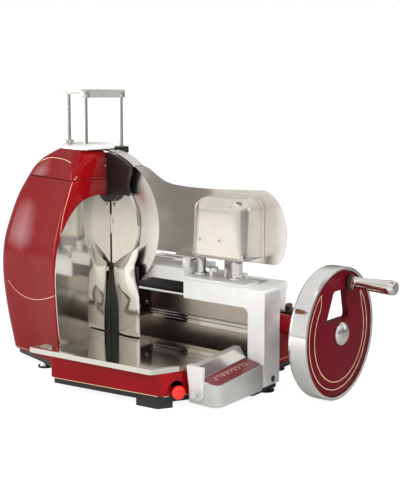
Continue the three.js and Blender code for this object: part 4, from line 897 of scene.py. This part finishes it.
DESK_FRONT, DESK_BACK, DESK_RISE = 29, 182, 11
FOLD_X, FOLD_Z = 70, 65                             # where the desk's top meets the slope
TOP_FALL, SLOPE_RISE = 8 / 43, 21 / 15              # per millimetre to the right and to the left of the fold
SLOPE = rectangle(55.8, 69.4, 31, 180.5)
SLOPE_SHEET, SLOPE_LIFT, MARK_SHEET, MARK_LIFT = 0.35, -0.05, 0.3, 1.4


def desk(x, y):
    """Height of the desk's sloping top, and of the slope on its left up to the fold."""
    rise = DESK_RISE * (y - DESK_FRONT) / (DESK_BACK - DESK_FRONT)
    return rise + FOLD_Z + (TOP_FALL * (FOLD_X - x) if x > FOLD_X else SLOPE_RISE * (FOLD_X - x))


def on_desk(name, quads, thick, lift, mat, slot):
    """A thin closed sheet over quads given in plan, following the desk."""
    verts, faces = [], []
    for quad in quads:
        n = len(verts)
        verts += [(x, y, desk(x, y) + lift) for x, y in quad]
        verts += [(x, y, desk(x, y) + lift + thick) for x, y in quad]
        faces += [(n, n + 1, n + 2, n + 3), (n + 7, n + 6, n + 5, n + 4)]
        faces += [(n + k, n + 4 + k, n + 4 + (k + 1) % 4, n + (k + 1) % 4) for k in range(4)]
    add(name, verts, faces, "root", slot, mat)


on_desk("desk_slope", [SLOPE], SLOPE_SHEET, SLOPE_LIFT, FENCE_STEEL, "mirror_steel")

# Strokes of a plain figure: across and along, from 0 to 1
STROKES = {"a": (0, 1, 0.86, 1), "b": (0.8, 1, 0.5, 1), "c": (0.8, 1, 0, 0.5), "d": (0, 1, 0, 0.14),
           "e": (0, 0.2, 0, 0.5), "f": (0, 0.2, 0.5, 1), "g": (0, 1, 0.43, 0.57)}
FIGURES = ["abcdef", "bc", "abged", "abgcd", "fgbc", "afgcd", "afgedc", "abc", "abcdefg"]
FIGURE_X, FIGURE_Y, FIGURE_PITCH, FIGURE_HEIGHT = 94, 52, 12.5, 6.5
TICK_X, TICK_Y, TICK_PITCH, TICK_WIDTH, TICKS, LONG_TICK, SHORT_TICK = 85.5, 54, 3.125, 0.9, 33, 5, 2.8


def figure(strokes, x, y, height):
    """Quads of one figure on the label: read along the machine's Y, with its top towards the tray."""
    wide = height * 0.6
    quads = []
    for name in strokes:
        left, right, foot, top = STROKES[name]
        quads.append(rectangle(x - top * height, x - foot * height, y + left * wide, y + right * wide))
    return quads


def tick(k):
    y = TICK_Y + TICK_PITCH * k
    tall = SHORT_TICK if k % 4 else LONG_TICK
    return rectangle(TICK_X - tall, TICK_X, y, y + TICK_WIDTH)


marks = []
for k, strokes in enumerate(FIGURES):
    marks += figure(strokes, FIGURE_X, FIGURE_Y + FIGURE_PITCH * k, FIGURE_HEIGHT)
marks += [tick(k) for k in range(TICKS)]
on_desk("scale_marks", marks, MARK_SHEET, MARK_LIFT, PALE, "scale_red")

# Black plug in the leg's side, rubber rings under the feet

PLUG = (217, 31)
PLUG_PROFILE = [(0, 112.6), (6.6, 112.6), (6.6, 113.5), (6, 113.9), (0, 113.9)]
FEET = {"front_left": (-400, 66), "rear_left": (-455, 365), "rear_right": (22, 370), "right": (91, 225)}
FOOT_RING = [(11, 0), (17, 0), (17.3, 0.6), (17.3, 3), (16.6, 3.8), (11, 4.4), (11, 0)]
add("leg_plug", *lathe(PLUG_PROFILE, "x", PLUG, 40), "carriage", "black_enamel", angle=50)
for name, place in FEET.items():
    add(f"ring_{name}", *lathe(FOOT_RING, "z", place, 48), "root", "rubber", angle=50)

# Studio, in metres: lamps for the diffuse light, as (name, place, size, aim, watts)

LAMPS = [
    ("key", (0.4, -2.2, 2.0), (2.4, 1.6), (0, 0, 0.2), 44),
    ("fill", (-2.2, -1.4, 1.4), (1.6, 1.8), (0, 0, 0.3), 20),
    ("rim", (1.6, 1.8, 2.0), (1.6, 1.2), (0, 0, 0.3), 20),
    ("side", (2.6, -0.2, 0.8), (1.6, 1.2), (0.1, 0, 0.2), 58),
]


def emitter(name, place, size, aim, watts):
    data = bpy.data.lights.new(name, "AREA")
    data.shape = "RECTANGLE"
    data.size, data.size_y = size
    data.energy = watts
    lamp = bpy.data.objects.new(name, data)
    scene.collection.objects.link(lamp)
    lamp.location = place
    lamp.rotation_euler = (Vector(aim) - Vector(place)).to_track_quat("-Z", "Y").to_euler()
    lamp.visible_glossy = False


for values in LAMPS:
    emitter(*values)

# Panels that only the gloss of the object sees: name, place, aim, size, colour, strength, unfaded core

CARDS = [
    ("card_left", (-1.75, -0.83, 0.58), (-0.45, 0.05, 0.3), (0.95, 1.3), (1.0, 0.97, 0.97), 13, 0.0),
    ("card_top", (0.2, -0.2, 2.6), (0, 0, 0.2), (3.0, 2.4), (1.0, 0.99, 0.97), 1.6, 0.3),
    ("card_back", (2.2, 2.6, 1.0), (0, 0, 0.3), (2.6, 2.2), (1.0, 0.98, 0.95), 1.0, 0.3),
    ("card_brown", (0.3, 0.1, 2.3), (0.3, 0.1, 0), (2.0, 1.5), (0.20, 0.10, 0.05), 1.0, 0.6),
    ("card_amber", (-1.05, -1.69, 1.63), (0.33, -0.05, 0.2), (0.55, 0.4), (0.22, 0.10, 0.04), 1.0, 0.6),
]


def flat_mesh(name, x, y):
    """A rectangle about the origin that reaches x and y metres to each side."""
    mesh = bpy.data.meshes.new(name)
    mesh.from_pydata([(*corner, 0) for corner in rectangle(-x, x, -y, y)], [], [(0, 1, 2, 3)])
    return mesh


def mixed(tree, fac, first, second):
    """The first shader where the factor is 0, the second where it is 1."""
    n = node(tree, "ShaderNodeMixShader")
    tree.links.new(fac, n.inputs["Fac"])
    tree.links.new(first, n.inputs[1])
    tree.links.new(second, n.inputs[2])
    return n.outputs["Shader"]


def smooth_step(tree, value, start, stop):
    """Soft change from 0 to 1 while the value goes from start to stop."""
    n = node(tree, "ShaderNodeMapRange", {"From Min": start, "From Max": stop},
             interpolation_type="SMOOTHSTEP")
    tree.links.new(value, n.inputs["Value"])
    return n.outputs["Result"]


def card_material(name, colour, strength, core):
    """Glow that fades out from the core of the panel to its edge."""
    mat = bpy.data.materials.new(name)
    mat.use_nodes = True
    tree = mat.node_tree
    tree.nodes.remove(tree.nodes["Principled BSDF"])
    light = node(tree, "ShaderNodeEmission", {"Color": (*colour, 1), "Strength": strength})
    clear = node(tree, "ShaderNodeBsdfTransparent")
    place = node(tree, "ShaderNodeTexCoord")
    centred = node(tree, "ShaderNodeMapping", {"Location": (-1, -1, 0), "Scale": (2, 2, 0)})
    tree.links.new(place.outputs["Generated"], centred.inputs["Vector"])
    reach = node(tree, "ShaderNodeVectorMath", operation="LENGTH")
    tree.links.new(centred.outputs["Vector"], reach.inputs[0])
    fade = smooth_step(tree, reach.outputs["Value"], 1.0, core)
    faded = mixed(tree, fade, clear.outputs["BSDF"], light.outputs["Emission"])
    tree.links.new(faded, tree.nodes["Material Output"].inputs["Surface"])
    return mat


def card(name, centre, aim, size, colour, strength, core):
    mesh = flat_mesh(name, size[0] / 2, size[1] / 2)
    mesh.materials.append(card_material(name, colour, strength, core))
    obj = bpy.data.objects.new(name, mesh)
    scene.collection.objects.link(obj)
    turn = (Vector(aim) - Vector(centre)).to_track_quat("Z", "Y")
    obj.matrix_world = Matrix.LocRotScale(Vector(centre), turn, Vector((1, 1, 1)))
    obj.visible_camera = obj.visible_diffuse = obj.visible_shadow = False
    obj.visible_transmission = obj.visible_volume_scatter = False


for values in CARDS:
    card(*values)

# Room and floor. Gloss sees both bright in front and to the left and darker behind; the camera sees white.

ROOM_TONES = [(0.0, (0.22, 0.21, 0.20)), (0.35, (0.30, 0.28, 0.26)), (0.58, (0.62, 0.59, 0.54)),
              (0.9, (0.85, 0.83, 0.79))]
FLOOR_TONES = [(0.0, (0.16, 0.16, 0.15)), (0.36, (0.24, 0.23, 0.22)), (0.47, (0.42, 0.41, 0.39)),
               (0.58, (0.70, 0.69, 0.66)), (0.9, (0.90, 0.88, 0.85))]
BRIGHT_SIDE, OVERHEAD_START, OVERHEAD_FULL, SOFT_LIGHT = (-0.61, -0.79, 0.0), 0.2, 0.62, 0.66
OVERHEAD, FLOOR_COLOUR, WHITE = (0.80, 0.79, 0.77, 1), (0.86, 0.86, 0.85, 1), (1, 1, 1, 1)
FLOOR_HALF, FLOOR_REACH, FLOOR_GLOW, GLOW_PART = 30, 3.0, 1.2, 0.76


def to_bright_side(tree, vector, reach):
    """From 0 on the dark side to 1 on the bright side, over the given reach each way."""
    side = node(tree, "ShaderNodeVectorMath", {1: BRIGHT_SIDE}, operation="DOT_PRODUCT")
    tree.links.new(vector, side.inputs[0])
    spread = node(tree, "ShaderNodeMapRange", {"From Min": -reach, "From Max": reach})
    tree.links.new(side.outputs["Value"], spread.inputs["Value"])
    return spread.outputs["Result"]


def room():
    world = bpy.data.worlds.new("world")
    scene.world = world
    world.use_nodes = True
    tree = world.node_tree
    where = node(tree, "ShaderNodeTexCoord")
    tones = ramp(tree, to_bright_side(tree, where.outputs["Generated"], 1.0), ROOM_TONES)
    height = node(tree, "ShaderNodeSeparateXYZ")
    tree.links.new(where.outputs["Generated"], height.inputs["Vector"])
    sky = node(tree, "ShaderNodeMixRGB", {"Color2": OVERHEAD})
    tree.links.new(smooth_step(tree, height.outputs["Z"], OVERHEAD_START, OVERHEAD_FULL), sky.inputs["Fac"])
    tree.links.new(tones, sky.inputs["Color1"])
    glossy = tree.nodes["Background"]
    glossy.inputs["Strength"].default_value = 1.0
    tree.links.new(sky.outputs["Color"], glossy.inputs["Color"])
    soft = node(tree, "ShaderNodeBackground", {"Color": WHITE, "Strength": SOFT_LIGHT})
    seen = node(tree, "ShaderNodeBackground", {"Color": WHITE, "Strength": 1.0})
    ray = node(tree, "ShaderNodeLightPath").outputs
    by_gloss = mixed(tree, ray["Is Glossy Ray"], soft.outputs["Background"], glossy.outputs["Background"])
    by_camera = mixed(tree, ray["Is Camera Ray"], by_gloss, seen.outputs["Background"])
    tree.links.new(by_camera, tree.nodes["World Output"].inputs["Surface"])


def floor_material():
    mat, tree, shader = new_material("floor")
    shader.inputs["Roughness"].default_value = 0.8
    shader.inputs["Specular IOR Level"].default_value = 0.1
    tones = ramp(tree, to_bright_side(tree, coords(tree), FLOOR_REACH), FLOOR_TONES)
    ray = node(tree, "ShaderNodeLightPath").outputs
    colour = node(tree, "ShaderNodeMixRGB", {"Color1": FLOOR_COLOUR})
    tree.links.new(ray["Is Glossy Ray"], colour.inputs["Fac"])
    tree.links.new(tones, colour.inputs["Color2"])
    tree.links.new(colour.outputs["Color"], shader.inputs["Base Color"])
    glow = node(tree, "ShaderNodeEmission", {"Color": WHITE, "Strength": FLOOR_GLOW})
    part = node(tree, "ShaderNodeMath", {1: GLOW_PART}, operation="MULTIPLY")
    tree.links.new(ray["Is Camera Ray"], part.inputs[0])
    blend = mixed(tree, part.outputs[0], shader.outputs["BSDF"], glow.outputs["Emission"])
    tree.links.new(blend, tree.nodes["Material Output"].inputs["Surface"])
    return mat


def ground():
    mesh = flat_mesh("floor", FLOOR_HALF, FLOOR_HALF)
    mesh.materials.append(floor_material())
    obj = bpy.data.objects.new("floor", mesh)
    scene.collection.objects.link(obj)


room()
ground()

bpy.context.view_layer.update()
